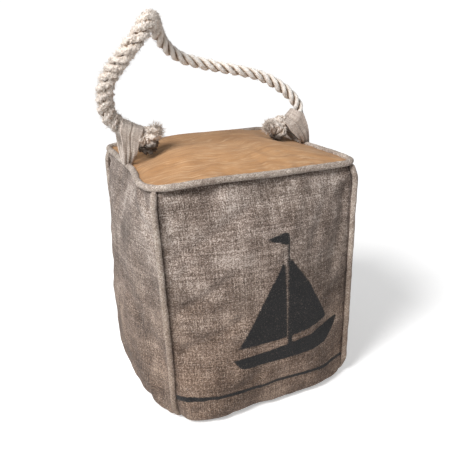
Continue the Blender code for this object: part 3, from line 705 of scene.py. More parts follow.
def canvas_material(name, pitch, dark, middle, light, turn=0.0, printed=False, soil_and_low_shade=1.0, grain=1.0):
    """Heathered canvas: each thread has its own tone between dark and light, slubs and pale
    flecks, cloudy wear, brown soiling with painted warm shade towards the floor, painted
    shade in the weave's hollows and along the seams, and ink where it is printed."""
    material, tree, shader = new_material(name, 0.97, sheen=0.12, specular=0.12)
    place = add(tree, "ShaderNodeTexCoord").outputs["Object"]
    uv = add(tree, "ShaderNodeUVMap", uv_map="surface").outputs["UV"]
    turned = add(tree, "ShaderNodeMapping", {"Vector": uv, "Rotation": (0.0, 0.0, turn)})
    cloth = placed(tree, WEAVE, {"Vector": turned.outputs["Vector"], "Pitch": pitch})
    dirt = placed(tree, HANDLING, {"Vector": place, "Scale": 1.0})
    mottle = noise(tree, place, 800.0, 4.0, 0.75)
    patches = noise(tree, place, 32.0, 4.0, 0.6)

    # The threads' tone: their own, their slubs, the heather's mottle, broad patches, and painted shade
    # between the threads.
    tone = sums(tree, 'MULTIPLY_ADD', cloth.outputs["Thread"], 0.10,
                sums(tree, 'MULTIPLY', cloth.outputs["Slub"], 0.12))
    tone = sums(tree, 'MULTIPLY_ADD', sums(tree, 'SUBTRACT', mottle, 0.5), 0.80 * grain, tone)
    tone = sums(tree, 'MULTIPLY_ADD', sums(tree, 'SUBTRACT', patches, 0.5), 0.38 * grain, tone)
    # Painted shade in the weave: raised thread tops lighter, the hollows between threads darker.
    tone = sums(tree, 'MULTIPLY_ADD', cloth.outputs["Height"], 0.10, tone)
    body = ramp(tree, sums(tree, 'ADD', tone, 0.32), (0.36, dark), (0.50, middle), (0.64, light))
    body = between(tree, sums(tree, 'MULTIPLY', dirt.outputs["Clouds"], 0.30), body,
                   between(tree, 1.0, body, (1.16, 1.12, 1.13), 'MULTIPLY'))

    # Brown soiling mixed with painted warm shade, both growing towards the floor, pale specks,
    # and painted shade along the seams, where the canvas dips under the pipings.
    low_down = steps(tree, add(tree, "ShaderNodeSeparateXYZ", {0: place}).outputs[2], 0.250, 0.0)
    soiled_and_shaded = sums(tree, 'MULTIPLY_ADD', noise(tree, place, 30.0, 3.0), 0.6, low_down)
    soiled_and_shaded = sums(tree, 'MULTIPLY', steps(tree, soiled_and_shaded, 0.35, 1.35), soil_and_low_shade)
    body = between(tree, soiled_and_shaded, body, between(tree, 1.0, body, (0.70, 0.59, 0.50), 'MULTIPLY'))
    body = between(tree, sums(tree, 'MULTIPLY', dirt.outputs["Specks"], 0.38), body, light)
    # Painted shade along every seam, where the canvas dips under a piping.
    painted_seam_shade = add(tree, "ShaderNodeAttribute", attribute_name="painted_seam_shade").outputs["Fac"]
    body = between(tree, sums(tree, 'MULTIPLY', painted_seam_shade, 0.85), body,
                   between(tree, 1.0, body, (0.20, 0.15, 0.12), 'MULTIPLY'))
    if printed:
        edge = add(tree, "ShaderNodeAttribute", attribute_name="ink").outputs["Fac"]
        rough_edge = sums(tree, 'MULTIPLY_ADD', noise(tree, place, 900.0, 3.0, 0.7), 1.6, edge)
        rough_edge = sums(tree, 'MULTIPLY_ADD', cloth.outputs["Height"], -0.4, rough_edge)
        inked = steps(tree, rough_edge, 1.00, 0.20)
        thin = sums(tree, 'MULTIPLY_ADD', steps(tree, mottle, 0.52, 0.72), -0.22, 0.99)
        body = between(tree, sums(tree, 'MULTIPLY', inked, thin), body, INK)
    tree.links.new(body, shader.inputs["Base Color"])
    raised = sums(tree, 'MULTIPLY_ADD', mottle, 0.9, cloth.outputs["Height"])
    bump(tree, shader, raised, 0.00045, 0.9)
    return material


PANEL_MATERIAL = canvas_material("panel_canvas", PITCH, DARK_THREAD, MID_THREAD, LIGHT_THREAD)
PRINT_MATERIAL = canvas_material("printed_canvas", PITCH, DARK_THREAD, MID_THREAD, LIGHT_THREAD,
                                 printed=True)


def flat_shape(across, height, corners):
    """Distance outside a convex outline, less than 0 within: the largest of the distances
    to the lines through its corners, which go round anticlockwise."""
    far = np.full(across.shape, -1.0)
    for (ax, ay), (bx, by) in zip(corners, corners[1:] + corners[:1]):
        long = math.hypot(bx - ax, by - ay)
        far = np.maximum(far, ((across - ax) * (by - ay) - (height - ay) * (bx - ax)) / long)
    return far


KEEL = (0.014, 0.052)         # middle of the boat's keel, across and up the front panel
BOAT_UNIT = 0.00112           # one unit of its outlines


def sailing_boat(across, height):
    """Distance outside the printed picture, in about a millimetre: a small sailing boat
    with a hull, a mainsail, a jib and a mast with a pennant, over a plain curved line. It
    is the smallest of the distances to its parts."""
    x = (across - KEEL[0]) / BOAT_UNIT
    y = (height - KEEL[1]) / BOAT_UNIT
    hull = np.maximum(np.maximum(y - 13 - 0.10 * x, -y), np.abs(x) - 52 + 0.9 * (13 - y))
    mainsail = flat_shape(x, y, [(3.5, 19.0), (46.0, 24.0), (22.0, 58.0), (3.5, 92.0)])
    jib = flat_shape(x, y, [(-42.0, 17.0), (-1.5, 19.0), (-1.5, 84.0)])
    mast = flat_shape(x, y, [(-1.0, 8.0), (3.0, 8.0), (2.4, 104.0), (-0.2, 104.0)])
    pennant = flat_shape(x, y, [(-18.0, 101.0), (0.0, 95.5), (0.0, 105.0)])
    boat = np.minimum.reduce([hull, mainsail, jib, mast, pennant])
    drawn = 0.0290 - 0.0060 * (across / HALF) ** 2 + 0.0045 * eased(-across, 0.02, 0.09)
    line = np.abs(height - drawn) * 1000 - (1.7 + 0.8 * eased(-across, 0.05, 0.09))
    return np.minimum(boat, line)


def thickened(sheet, name, thickness, offset, finer=True):
    """Gives a sheet its thickness, inwards for an offset of -1, outwards for 1 and half to
    each side for 0, and then divides its faces once."""
    wall = sheet.modifiers.new(name, 'SOLIDIFY')
    wall.thickness = thickness
    wall.offset = offset
    if finer:
        divided = sheet.modifiers.new("Finer", 'SUBSURF')
        divided.levels = 1
        divided.render_levels = 1


def side_panel(name, node, across_way, out_way, fullness, recess, lumps, folds, seed, printed=False):
    """One side of the bag. It stands out by (1 - |u|^3.2)(1 - h^2.2) of its fullness, where
    u runs across it and h up it; its top edge is drawn in under the piping by the recess.
    Lumps are bells of extra fullness, each a place, a size and an amount. Folds are
    creases, each two ends, a depth and a width. UVs are metres across and up."""
    u = np.sin(np.linspace(-0.5, 0.5, ACROSS) * math.pi * 0.80) / math.sin(0.40 * math.pi)
    v = np.linspace(0.0, 1.0, UPWARD)
    rolled = 0.95 * ROLL_RADIUS               # the lowest 0.12 of the rows stand in the roll
    rise = np.where(v < 0.12, 0.95 * v / 0.12 * ROLL_RADIUS * (0.08 + v / 0.12 * 0.92),
                    rolled + (v - 0.12) / 0.88 * (SEAM_Z - 0.0008 - rolled))
    across, height = np.meshgrid(u * HALF, rise)
    part_up = height / SEAM_Z

    # Full in its middle, held in along the corner seams and under the top piping.
    out = fullness * (1 - np.abs(across / HALF) ** 3.2) * (1 - part_up ** 2.2)
    out *= 0.90 + 0.10 * eased(part_up, 0.0, 0.12)
    out -= 0.0024 * np.exp(-((HALF - np.abs(across)) / 0.0045) ** 2)
    gap = SEAM_Z - height
    open_width = eased(HALF - np.abs(across), 0.0, 0.014)
    out -= recess * np.exp(-(gap / 0.0065) ** 2) * (0.35 + 0.65 * open_width)

    # Lumps and folds die away towards the seams, where the panel is held.
    free = eased(HALF - np.abs(across), 0.0, 0.012) * eased(gap, 0.0, 0.008) * eased(height, 0.0, 0.004)
    for spot_x, spot_y, size, amount in lumps:
        bell = np.exp(-(((across - spot_x) / size) ** 2 + ((height - spot_y) / size) ** 2))
        out += amount * bell * free
    points = np.array(across_way) * across[..., None] + np.array(out_way) * (HALF + out)[..., None]
    points[..., 2] = height
    points = pushed_out(name + "_cloth", points, 2.2, 0.012, 0.007)
    push = 0.0011 * uneven(points, 0.060, seed) + 0.00045 * uneven(points, 0.017, seed + 1)
    for start, end, depth, width in folds:
        push += crease(across, height, start, end, depth, width)
    points = slump(points + np.array(out_way) * (push * free)[..., None])
    uv = np.stack((across, height), axis=-1)
    material = PRINT_MATERIAL if printed else PANEL_MATERIAL
    panel = piece(name, [grid_part(points, uv)], material)
    # Painted seam shade: full at the seams, gone within a few millimetres.
    to_seam = np.minimum(HALF - np.abs(across), gap)
    mark(panel, "painted_seam_shade", np.exp(-(to_seam / 0.0038) ** 2))
    if printed:
        mark(panel, "ink", sailing_boat(across, height))
    thickened(panel, "Cloth thickness", CANVAS, -1.0)
    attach(panel, "bag")
    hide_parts(node)
    return panel


side_panel(
    "front_panel_cloth", "front_panel", (1, 0, 0), (0, -1, 0), fullness=0.0145, recess=0.0045,
    lumps=[(-0.045, 0.045, 0.040, 0.0030), (-0.066, 0.012, 0.030, 0.0080), (0.030, 0.110, 0.060, 0.0015)],
    folds=[((-0.070, 0.216), (-0.040, 0.206), -0.0042, 0.0050),
           ((-0.086, 0.200), (-0.068, 0.152), -0.0028, 0.0045),
           ((-0.082, 0.156), (-0.012, 0.194), -0.0026, 0.0052),
           ((-0.060, 0.182), (-0.024, 0.156), 0.0018, 0.0060),
           ((-0.084, 0.106), (-0.034, 0.138), -0.0030, 0.0048),
           ((-0.078, 0.074), (-0.030, 0.096), -0.0024, 0.0050),
           ((0.006, 0.150), (0.030, 0.190), 0.0018, 0.0050),
           ((0.040, 0.150), (0.062, 0.200), -0.0018, 0.0055),
           ((0.084, 0.194), (0.066, 0.130), -0.0026, 0.0060),
           ((0.010, 0.206), (0.052, 0.192), -0.0020, 0.0048),
           ((-0.070, 0.016), (-0.010, 0.044), -0.0020, 0.0055)],
    seed=41, printed=True)
side_panel(
    "left_panel_cloth", "left_panel", (0, -1, 0), (-1, 0, 0), fullness=0.0138, recess=0.0020,
    lumps=[(0.030, 0.050, 0.050, 0.0030), (-0.040, 0.140, 0.060, 0.0010)],
    folds=[((0.086, 0.190), (0.056, 0.214), -0.0036, 0.0045),
           ((0.086, 0.172), (0.036, 0.206), -0.0022, 0.0060),
           ((0.060, 0.150), (0.010, 0.100), -0.0018, 0.0110),
           ((0.080, 0.060), (0.030, 0.110), -0.0016, 0.0090),
           ((-0.020, 0.214), (-0.012, 0.185), -0.0014, 0.0060),
           ((0.070, 0.030), (0.020, 0.060), -0.0014, 0.0080),
           ((0.050, 0.012), (0.010, 0.020), -0.0020, 0.0050),
           ((-0.080, 0.160), (-0.040, 0.120), -0.0012, 0.0090)],
    seed=51)
side_panel(
    "back_panel_cloth", "back_panel", (-1, 0, 0), (0, 1, 0), fullness=0.0130, recess=0.0030,
    lumps=[(0.030, 0.055, 0.050, 0.0025)],
    folds=[((0.084, 0.200), (0.050, 0.170), -0.0020, 0.0070),
           ((-0.082, 0.196), (-0.055, 0.160), -0.0018, 0.0070),
           ((-0.070, 0.030), (-0.020, 0.055), -0.0014, 0.0080)],
    seed=61)
side_panel(
    "right_panel_cloth", "right_panel", (0, 1, 0), (1, 0, 0), fullness=0.0095, recess=0.0025,
    lumps=[(-0.035, 0.050, 0.050, 0.0025)],
    folds=[((-0.084, 0.190), (-0.050, 0.205), -0.0022, 0.0060),
           ((0.080, 0.180), (0.050, 0.140), -0.0016, 0.0080),
           ((0.020, 0.214), (0.010, 0.180), -0.0012, 0.0060)],
    seed=71)

# ---- Base panel -------------------------------------------------------------------------
# A square of the same canvas, sewn to the side panels' lower edges inside the roll, and
# pressed flat where the bag stands.


def base_points(count=61):
    """A flat square whose rim lifts a little; its corners are rounded by the slump."""
    u = np.linspace(-1.0, 1.0, count)
    y, x = np.meshgrid(u * HALF, u * HALF)
    rim = np.maximum(np.abs(x), np.abs(y)) / HALF
    z = 0.0009 + 0.0008 * eased(rim, 0.85, 1.0)
    points = slump(np.stack((x, y, np.zeros(x.shape)), axis=-1))
    points[..., 2] = z + 0.0001 * uneven(points, 0.03, 81)
    return points, np.stack((x, y), axis=-1)


points, uv = base_points()
base = piece("base_panel_cloth", [grid_part(points, uv)], PANEL_MATERIAL)
thickened(base, "Cloth thickness", 0.0009, 1.0, finer=False)
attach(base, "bag")
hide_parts("base_panel")

# ---- Leather top ------------------------------------------------------------------------
# One square of tan suede-backed cowhide, crowned by the wadding under it. Its nap is
# brushed into short light and dark strokes, and it darkens against the seam.

LEATHER = 0.0014              # thickness
CROWN = 0.0150                # rise of its middle above the seam
DENTS = ((-0.070, 0.0048), (0.060, 0.0055))   # x and depth of the dent under each knot


def leather_material():
    """Tan leather: brushed strokes at several angles, broad clouds, fine pores, handling stains,
    and darker towards the seam."""
    material, tree, shader = new_material("brushed_leather", 0.72, sheen=0.06, specular=0.18)
    place = add(tree, "ShaderNodeTexCoord").outputs["Object"]
    dirt = placed(tree, HANDLING, {"Vector": place, "Scale": 1.6})
    strokes = []
    bend = add(tree, "ShaderNodeTexNoise", {"Vector": place, "Scale": 14.0, "Detail": 2.0})
    swept = add(tree, "ShaderNodeVectorMath", {0: bend.outputs["Color"], "Scale": 0.05},
                operation='SCALE')
    curved = add(tree, "ShaderNodeVectorMath", {0: place, 1: swept.outputs[0]}, operation='ADD')
    for turn, wave in ((0.45, 34.0), (-0.55, 40.0), (1.3, 30.0)):
        laid = add(tree, "ShaderNodeMapping", {
            "Vector": curved.outputs[0], "Rotation": (0.0, 0.0, turn), "Scale": (1.0, 9.0, 1.0)})
        bent = noise(tree, laid.outputs["Vector"], wave, 6.0, 0.72)
        strokes.append(steps(tree, bent, 0.52, 0.66))
    light = sums(tree, 'MAXIMUM', strokes[0], strokes[1])
    grain = noise(tree, place, 900.0, 4.0, 0.7)
    body = ramp(tree, noise(tree, place, 28.0, 5.0, 0.6), (0.30, (0.36, 0.185, 0.080)),
                (0.52, (0.445, 0.240, 0.108)), (0.72, (0.53, 0.305, 0.150)))
    body = between(tree, sums(tree, 'MULTIPLY', light, 0.46), body, (0.76, 0.53, 0.33))
    body = between(tree, sums(tree, 'MULTIPLY', strokes[2], 0.42), body, (0.24, 0.115, 0.045))
    body = between(tree, sums(tree, 'MULTIPLY', dirt.outputs["Stains"], 0.20), body, (0.30, 0.16, 0.07))
    edge = add(tree, "ShaderNodeAttribute", attribute_name="rim").outputs["Fac"]
    body = between(tree, sums(tree, 'MULTIPLY', edge, 0.45), body, (0.24, 0.125, 0.055))
    body = between(tree, sums(tree, 'MULTIPLY', grain, 0.20), body, (0.30, 0.17, 0.08))
    tree.links.new(body, shader.inputs["Base Color"])
    rough = sums(tree, 'MULTIPLY_ADD', light, 0.12, 0.66)
    tree.links.new(rough, shader.inputs["Roughness"])
    lines = sums(tree, 'SUBTRACT', sums(tree, 'MULTIPLY_ADD', grain, 0.5, light), strokes[2])
    bump(tree, shader, lines, 0.0005, 0.5)
    return material


def crown(count=97):
    """The leather's outer face: a square that rises by (1 - a^2.8)(1 - b^2.8) between its
    edges, with a shallow dent where each knot rests."""
    u = np.sin(np.linspace(-0.5, 0.5, count) * math.pi * 0.86) / math.sin(0.43 * math.pi)
    x, y = np.meshgrid(u * HALF, u * HALF)
    a, b = np.abs(x) / HALF, np.abs(y) / HALF
    rise = (1 - a ** 2.8) * (1 - b ** 2.8)
    z = SEAM_Z - 0.0004 + CROWN * rise
    z += 0.0008 * uneven(np.stack((x, y, 0 * x), -1), 0.07, 91) * eased(rise, 0.0, 0.3)
    for dent_x, depth in DENTS:
        z -= depth * np.exp(-((x - dent_x) / 0.017) ** 2 - (y / 0.030) ** 2) * eased(rise, 0.0, 0.3)
    inset = 1 - 0.0010 / HALF
    return np.stack((x * inset, y * inset, z), axis=-1), np.stack((x, y), -1), np.maximum(a, b)


points, uv, rim = crown()
points = pushed_out("leather_cloth", points, 1.0, 0.003, 0.0012)
near_seam = eased(rim, 0.80, 0.97) * (1 - eased(rim, 0.985, 1.0))
points[..., 2] += 0.0005 * near_seam * uneven(points * np.array((1, 1, 0)), 0.011, 92)
leather = piece("leather_top_cover", [grid_part(slump(points), uv)], leather_material())
mark(leather, "rim", eased(rim, 0.90, 1.0))
thickened(leather, "Leather thickness", LEATHER, -1.0)
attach(leather, "bag")
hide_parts("top_panel")

# ---- Pipings ----------------------------------------------------------------------------
# Bias-cut canvas folded round a cotton cord and caught in the seams: one ring round the
# leather, and one down each corner, whose lower end goes under the bag with the roll.

PIPING_RADIUS = CORD_RADIUS + 0.0008
TOP_RING = 130                # points along each side of the top piping
UPRIGHT = 190                 # points up each corner's piping
# The pipings take less of the brown soiling and painted warm shade than the panels.
PIPING_MATERIAL = canvas_material("piping_canvas", 0.0010, (0.17, 0.125, 0.10), (0.37, 0.305, 0.255),
                                  (0.76, 0.68, 0.60), turn=math.pi / 4, soil_and_low_shade=0.7, grain=0.8)


def cord_material():
    """Undyed cotton cord: fine spiral yarn lines on its own UV map."""
    material, tree, shader = new_material("cotton_cord", 0.95, sheen=0.2, specular=0.15)
    uv = add(tree, "ShaderNodeUVMap", uv_map="surface").outputs["UV"]
    lines = add(tree, "ShaderNodeTexWave", {"Vector": uv, "Scale": 220.0, "Distortion": 1.5},
                bands_direction='DIAGONAL')
    body = between(tree, lines.outputs["Fac"], (0.55, 0.50, 0.43), (0.80, 0.77, 0.71))
    tree.links.new(body, shader.inputs["Base Color"])
    bump(tree, shader, lines.outputs["Fac"], 0.0003)
    return material


CORD_MATERIAL = cord_material()


def tube(path, outward, radius, closed=False, sides=20, seed=0, rough=0.0):
    """Grid part of a tube along a path. Its side direction is outward with the part along
    the path taken away; its radius is uneven, as folded cloth is. UVs are metres."""
    if closed:
        tangent = unit(np.roll(path, -1, axis=0) - np.roll(path, 1, axis=0))
        gaps = np.linalg.norm(np.roll(path, -1, axis=0) - path, axis=1)
    else:
        tangent = unit(np.gradient(path, axis=0))
        gaps = np.linalg.norm(np.diff(path, axis=0), axis=1)
    side = unit(outward - (outward * tangent).sum(-1, keepdims=True) * tangent)
    other = np.cross(tangent, side)
    angle = np.linspace(0, 2 * np.pi, sides, endpoint=False)[None, :, None]
    around = np.cos(angle) * side[:, None] + np.sin(angle) * other[:, None]
    width = radius * (1 + rough * uneven(path[:, None] + 0.004 * around, 0.009, seed))
    if not closed:
        width = width * closed_ends(len(path))[:, None]
    points = path[:, None] + width[..., None] * around
    run = np.concatenate(([0.0], np.cumsum(gaps)))
    uv = np.stack(np.broadcast_arrays(
        np.linspace(0, 2 * np.pi * radius, sides + 1)[None, :], run[:, None]), -1)
    return grid_part(points, uv, ring=True, loop=closed)


def square_ring(count=TOP_RING):
    """Points round the plain square at the seam's height, closer together at its corners,
    anticlockwise from the front left corner: along each side the place is a sine."""
    t = np.sin(np.linspace(-0.5, 0.5, count, endpoint=False) * math.pi * 0.94) / math.sin(0.47 * math.pi)
    flat = np.full(count, 1.0)
    x = np.concatenate((t, flat, -t, -flat)) * HALF
    y = np.concatenate((-flat, t, flat, -t)) * HALF
    return np.stack((x, y, np.full(x.shape, SEAM_Z)), axis=-1)


# A filled piping can't turn sharply, so each point is moved towards its neighbours.

ring = slump(square_ring())
for _ in range(3):
    ring = (np.roll(ring, 1, axis=0) + 2 * ring + np.roll(ring, -1, axis=0)) / 4
out_of_bag = np.cross(unit(np.roll(ring, -1, axis=0) - np.roll(ring, 1, axis=0)), (0.0, 0.0, 1.0))
ring += out_of_bag * (0.00035 * uneven(ring, 0.022, 101))[:, None]
top_piping = piece("top_piping_canvas", [tube(
    ring, out_of_bag, PIPING_RADIUS, closed=True, seed=102, rough=0.055)], PIPING_MATERIAL)
top_cord = piece("top_piping_filler", [tube(
    ring, out_of_bag, CORD_RADIUS, closed=True, sides=12)], CORD_MATERIAL)
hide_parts("top_piping_strip")
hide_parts("top_piping_cord")
pipings = [(top_piping, top_cord)]

# Each corner piping runs from just under the top one to just above the floor, a little
# proud of the canvas.

CORNERS = (("front_left", -1, -1), ("front_right", 1, -1), ("back_left", -1, 1), ("back_right", 1, 1))
for number, (name, sign_x, sign_y) in enumerate(CORNERS):
    rise = 0.0012 + np.linspace(0.0, 1.0, UPRIGHT) ** 1.25 * (SEAM_Z - 0.0016 - 0.0012)
    line = np.stack((np.full(UPRIGHT, sign_x * HALF), np.full(UPRIGHT, sign_y * HALF), rise), axis=-1)
    line = slump(line)
    line[:, :2] *= 1 + 0.0008 / HALF
    line[:, 2] += 0.0022 * (1 - eased(rise, 0.0, 0.02))
    outward = np.broadcast_to(unit(np.array((sign_x, sign_y, 0.0), float)), line.shape)
    line = line + outward * (0.0003 * uneven(line, 0.030, 110 + number))[:, None]
    strip = piece(name + "_piping_canvas", [tube(
        line, outward, PIPING_RADIUS * 0.96, seed=120 + number, rough=0.055)],
        PIPING_MATERIAL, weld=True)
    filler = piece(name + "_piping_filler", [tube(
        line[2:-2], outward[2:-2], CORD_RADIUS, sides=12)], CORD_MATERIAL, weld=True)
    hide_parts(name + "_piping_strip")
    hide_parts(name + "_piping_cord")
    pipings.append((strip, filler))
for strip, filler in pipings:
    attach(strip, "bag")
    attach(filler, "bag")

# ---- Rope loops -------------------------------------------------------------------------
# Two straps of pale canvas, folded in three and stitched down the middle, gathered at the
# top seam and folded over the rope: the left one flat to the front, the right one a hood.

LOOP_WALL = 0.0017            # thickness of the folded strap
# The straps take only a little of the brown soiling and painted warm shade.
STRAP_MATERIAL = canvas_material("strap_canvas", 0.0010, (0.22, 0.17, 0.14), (0.50, 0.43, 0.375),
                                 (0.80, 0.73, 0.67), soil_and_low_shade=0.3, grain=0.5)
PIVOT_Z = SEAM_Z + HOLE_HEIGHT            # the rope turns in both loops at this height


def stitches(path, above, length=0.0019, gap=0.0011, radius=0.00032):
    """Grid part of a row of stitches: short capsules end to end along a path, held off the
    surface by a direction given for each of its points."""
    run = np.concatenate(([0.0], np.cumsum(np.linalg.norm(np.diff(path, axis=0), axis=1))))
    starts = np.arange(run[-1] * 0.06, run[-1] * 0.94 - length, length + gap)
    marks = starts[:, None] + length * np.array((0.0, 0.12, 0.5, 0.88, 1.0))
    line = np.stack([np.interp(marks, run, path[:, axis]) for axis in range(3)], axis=-1)
    lift = unit(np.stack([np.interp(marks, run, above[:, axis]) for axis in range(3)], axis=-1))
    across = unit(np.cross(line[:, -1:] - line[:, :1], lift))
    angle = 2 * np.pi / 6 * np.arange(6)[:, None]
    ring = np.cos(angle) * across[:, :, None] + np.sin(angle) * lift[:, :, None]
    size = radius * np.array((0.0, 0.8, 1.0, 0.8, 0.0))[:, None, None]
    points = (line + lift * LOOP_WALL * 0.52)[:, :, None] + size * ring
    return grid_part(points, ring=True)


def strap(name, node, foot, foot_half, bend, radii, seed):
    """A strap from its front foot, up, over the rope and down to its back foot. Across the
    strap, s runs from -1 on the bag's side to 1 and t from 0 to 1; there the rope's line
    is the curve (1 - t)^2 a + 2t(1 - t) b + t^2 c, and the strap is two legs joined by
    half a circle round that line, whose radius goes from the first to the second. A
    stitched groove runs down the middle, and pleats fan from the foot."""
    side = np.sign(foot[0])
    lateral = np.array((0.0, 1.0, 0.0))
    s = np.linspace(-1.0, 1.0, 29)
    t = (s[:, None] + 1) / 2
    first, middle, last = (np.array(p) for p in bend)

    # The rope's line over the width of the strap, and the arch's own way up from it.
    spine = (1 - t) ** 2 * first + 2 * t * (1 - t) * middle + t ** 2 * last
    slope = unit((1 - t) * (middle - first) + t * (last - middle))
    crown_way = side * np.stack((-slope[:, 2], 0 * s, slope[:, 0]), axis=-1)
    hole = radii[0] + (radii[1] - radii[0]) * t

    # Each leg goes straight up while it opens on a quarter of a sine, and meets the arch.
    ground = foot + np.array((side * foot_half, 0.0, 0.0)) * s[:, None]
    share = np.linspace(0.0, 1.0, 26, endpoint=False)[:, None, None]
    spread = 0.0011 + (hole - 0.0011) * np.sin(np.minimum(1.0, share / 0.6) * math.pi / 2)
    front = ground + (spine - ground) * share - lateral * spread
    angle = np.linspace(-math.pi / 2, math.pi / 2, 30)[:, None, None]
    arch = spine + hole * (np.cos(angle) * crown_way + np.sin(angle) * lateral)
    points = np.concatenate((front, arch, front[::-1] * np.array((1.0, -1.0, 1.0))))
    legs = share[:, 0, 0]
    up_share = np.concatenate((legs, np.ones(len(angle)), legs[::-1]))[:, None]

    # Groove, hems, pleats and unevenness move the face along its outward direction.
    out = unit(np.cross(np.gradient(points, axis=0), np.gradient(points, axis=1)))
    out *= np.sign((out * (points - (spine + ground) / 2)).sum(-1).mean())
    groove = -0.0011 * np.exp(-((s[None] + 0.05) / 0.07) ** 2)
    hem = 0.0005 * np.exp(-((np.abs(s[None]) - 0.93) / 0.10) ** 2)
    pleats = 0.0011 * np.cos(s[None] * 9.0 + seed) * (1 - eased(up_share, 0.1, 0.8))
    soft = 0.0006 * uneven(points, 0.012, seed)
    points = points + out * (groove + hem + pleats + soft)[..., None]
    middle_line = points[:, len(s) // 2]
    run = np.concatenate(([0.0], np.cumsum(np.linalg.norm(np.diff(middle_line, axis=0), axis=1))))
    uv = np.stack((np.broadcast_to(s[None] * 0.010, points.shape[:2]),
                   np.broadcast_to(run[:, None], points.shape[:2])), axis=-1)
    made = piece(name, [grid_part(points, uv)], STRAP_MATERIAL)
    thickened(made, "Folded thickness", LOOP_WALL, 0.0)
    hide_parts(node)
    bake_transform(made)
    thread = piece(name + "_stitches", [
        stitches(points[:, column], out[:, column]) for column in (11, 16)],
        CORD_MATERIAL, weld=True)
    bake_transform(thread)


strap(
    "left_loop_strap", "left_rope_loop",
    foot=np.array((-HALF - 0.0005, 0.0, SEAM_Z + 0.0010)), foot_half=0.0040,
    bend=((-0.0795, 0.0, PIVOT_Z - 0.0075), (-0.0880, 0.0, PIVOT_Z - 0.0025),
          (-0.0975, 0.0, PIVOT_Z + 0.0020)),
    radii=(0.0095, 0.0095), seed=131)
strap(
    "right_loop_strap", "right_rope_loop",
    foot=np.array((HALF + 0.0010, 0.0, SEAM_Z + 0.0010)), foot_half=0.0055,
    bend=((0.0705, 0.0, PIVOT_Z - 0.0165), (0.0800, 0.0, PIVOT_Z - 0.0110),
          (0.0855, 0.0, PIVOT_Z - 0.0005)),
    radii=(0.0110, 0.0085), seed=141)

# ---- Sand -------------------------------------------------------------------------------
# The load: dry sand, poured into a sack and settled level, so it fills the lower part of
# the bag from side to side.


def round_block(half_x, half_y, low_z, high_z, soft, power, wrinkle, seed, rows=60, around=96):
    """A closed soft block: squarish ovals |x|^p + |y|^p = 1 stacked from low to high, drawn
    in on a quarter circle of the soft radius at both ends, with an uneven face."""
    t = np.linspace(0.0, math.pi, rows)
    rise = (1 - np.cos(t)) / 2
    z = low_z + (high_z - low_z) * rise
    near = np.minimum(z - low_z, high_z - z)
    arc = np.sqrt(np.maximum(0.0, soft ** 2 - (soft - near) ** 2))
    inset = np.where(near < soft, soft - arc, 0.0)
    angle = np.linspace(0, 2 * np.pi, around, endpoint=False)
    c, s = np.cos(angle), np.sin(angle)
    reach = (np.abs(c) ** power + np.abs(s) ** power) ** (-1.0 / power)
    x = reach * c * (half_x - inset)[:, None]
    y = reach * s * (half_y - inset)[:, None]
    closing = np.ones(rows)
    closing[[0, -1]] = 0.0
    closing[[1, -2]] = 0.55
    x, y = x * closing[:, None], y * closing[:, None]
    points = np.stack((x, y, np.broadcast_to(z[:, None], x.shape)), axis=-1)
    ways = unit(np.stack((x, y, 0 * x + 1e-6), axis=-1))
    points += ways * (wrinkle * uneven(points, 0.018, seed) * closing[:, None])[..., None]
    return points


def plain_finish(name, first, second, scale, height, sheen=0.0):
    """A soft finish for the pieces inside the bag: two tones mixed by a fine grain."""
    material, tree, shader = new_material(name, 0.95, sheen=sheen, specular=0.2)
    place = add(tree, "ShaderNodeTexCoord").outputs["Object"]
    grain = noise(tree, place, scale, 4.0, 0.7)
    dirt = placed(tree, HANDLING, {"Vector": place, "Scale": 1.0})
    body = between(tree, steps(tree, grain, 0.3, 0.7), first, second)
    body = between(tree, sums(tree, 'MULTIPLY', dirt.outputs["Clouds"], 0.25), body, first)
    tree.links.new(body, shader.inputs["Base Color"])
    bump(tree, shader, grain, height)
    return material


low, sand_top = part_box("sand_fill")
points = round_block(sand_top.x, sand_top.y, low.z, sand_top.z, 0.010, 6, 0.0002, 151)
SAND_MATERIAL = plain_finish("dry_sand", (0.50, 0.38, 0.22), (0.78, 0.66, 0.46), 2400.0, 0.0006)
sand = piece("sand_heap", [grid_part(points, ring=True)], SAND_MATERIAL, weld=True)
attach(sand, "bag")
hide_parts("sand_fill")

# ---- Sack and its tie -------------------------------------------------------------------
# A thin white cotton sack that keeps the sand from leaking through the canvas. Its mouth is
# gathered to a neck, and a short cotton cord is wound round it three times.

TURNS = 3
SACK_MATERIAL = plain_finish("thin_cotton", (0.66, 0.65, 0.61), (0.82, 0.81, 0.78), 1300.0, 0.0003)
low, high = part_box("sand_liner")
tie_low, tie_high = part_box("liner_tie")
neck_z = (tie_low.z + tie_high.z) / 2
points = round_block(high.x, high.y, low.z, high.z, 0.012, 6, 0.0003, 161, rows=80)

# Above the sand the sack narrows to fourteen folds inside the tie, and flares above it.

gather = eased(points[..., 2], sand_top.z + 0.004, neck_z)
flare = eased(points[..., 2], neck_z, high.z)
angle = np.arctan2(points[..., 1], points[..., 0])
neck = -(tie_low.x + 0.0035) * (1 + 0.9 * flare) * (1 + 0.10 * np.cos(14 * angle))
reach = np.maximum(np.hypot(points[..., 0], points[..., 1]), 1e-9)
closing = np.minimum(1.0, reach / 0.02)
shrunk = reach * (1 - gather) + neck * closing * gather
points[..., :2] *= (shrunk / reach)[..., None]
liner = piece("sand_sack", [grid_part(points, ring=True)], SACK_MATERIAL, weld=True)
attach(liner, "bag")
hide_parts("sand_liner")
turn = np.linspace(0, TURNS * 2 * np.pi, 240)
tie_radius = (tie_high.z - tie_low.z) / 2
wound = tie_high.x - tie_radius
climb = tie_radius * 1.1 * (turn / (TURNS * np.pi) - 1)
path = np.stack((wound * np.cos(turn), wound * np.sin(turn), neck_z + climb), axis=-1)
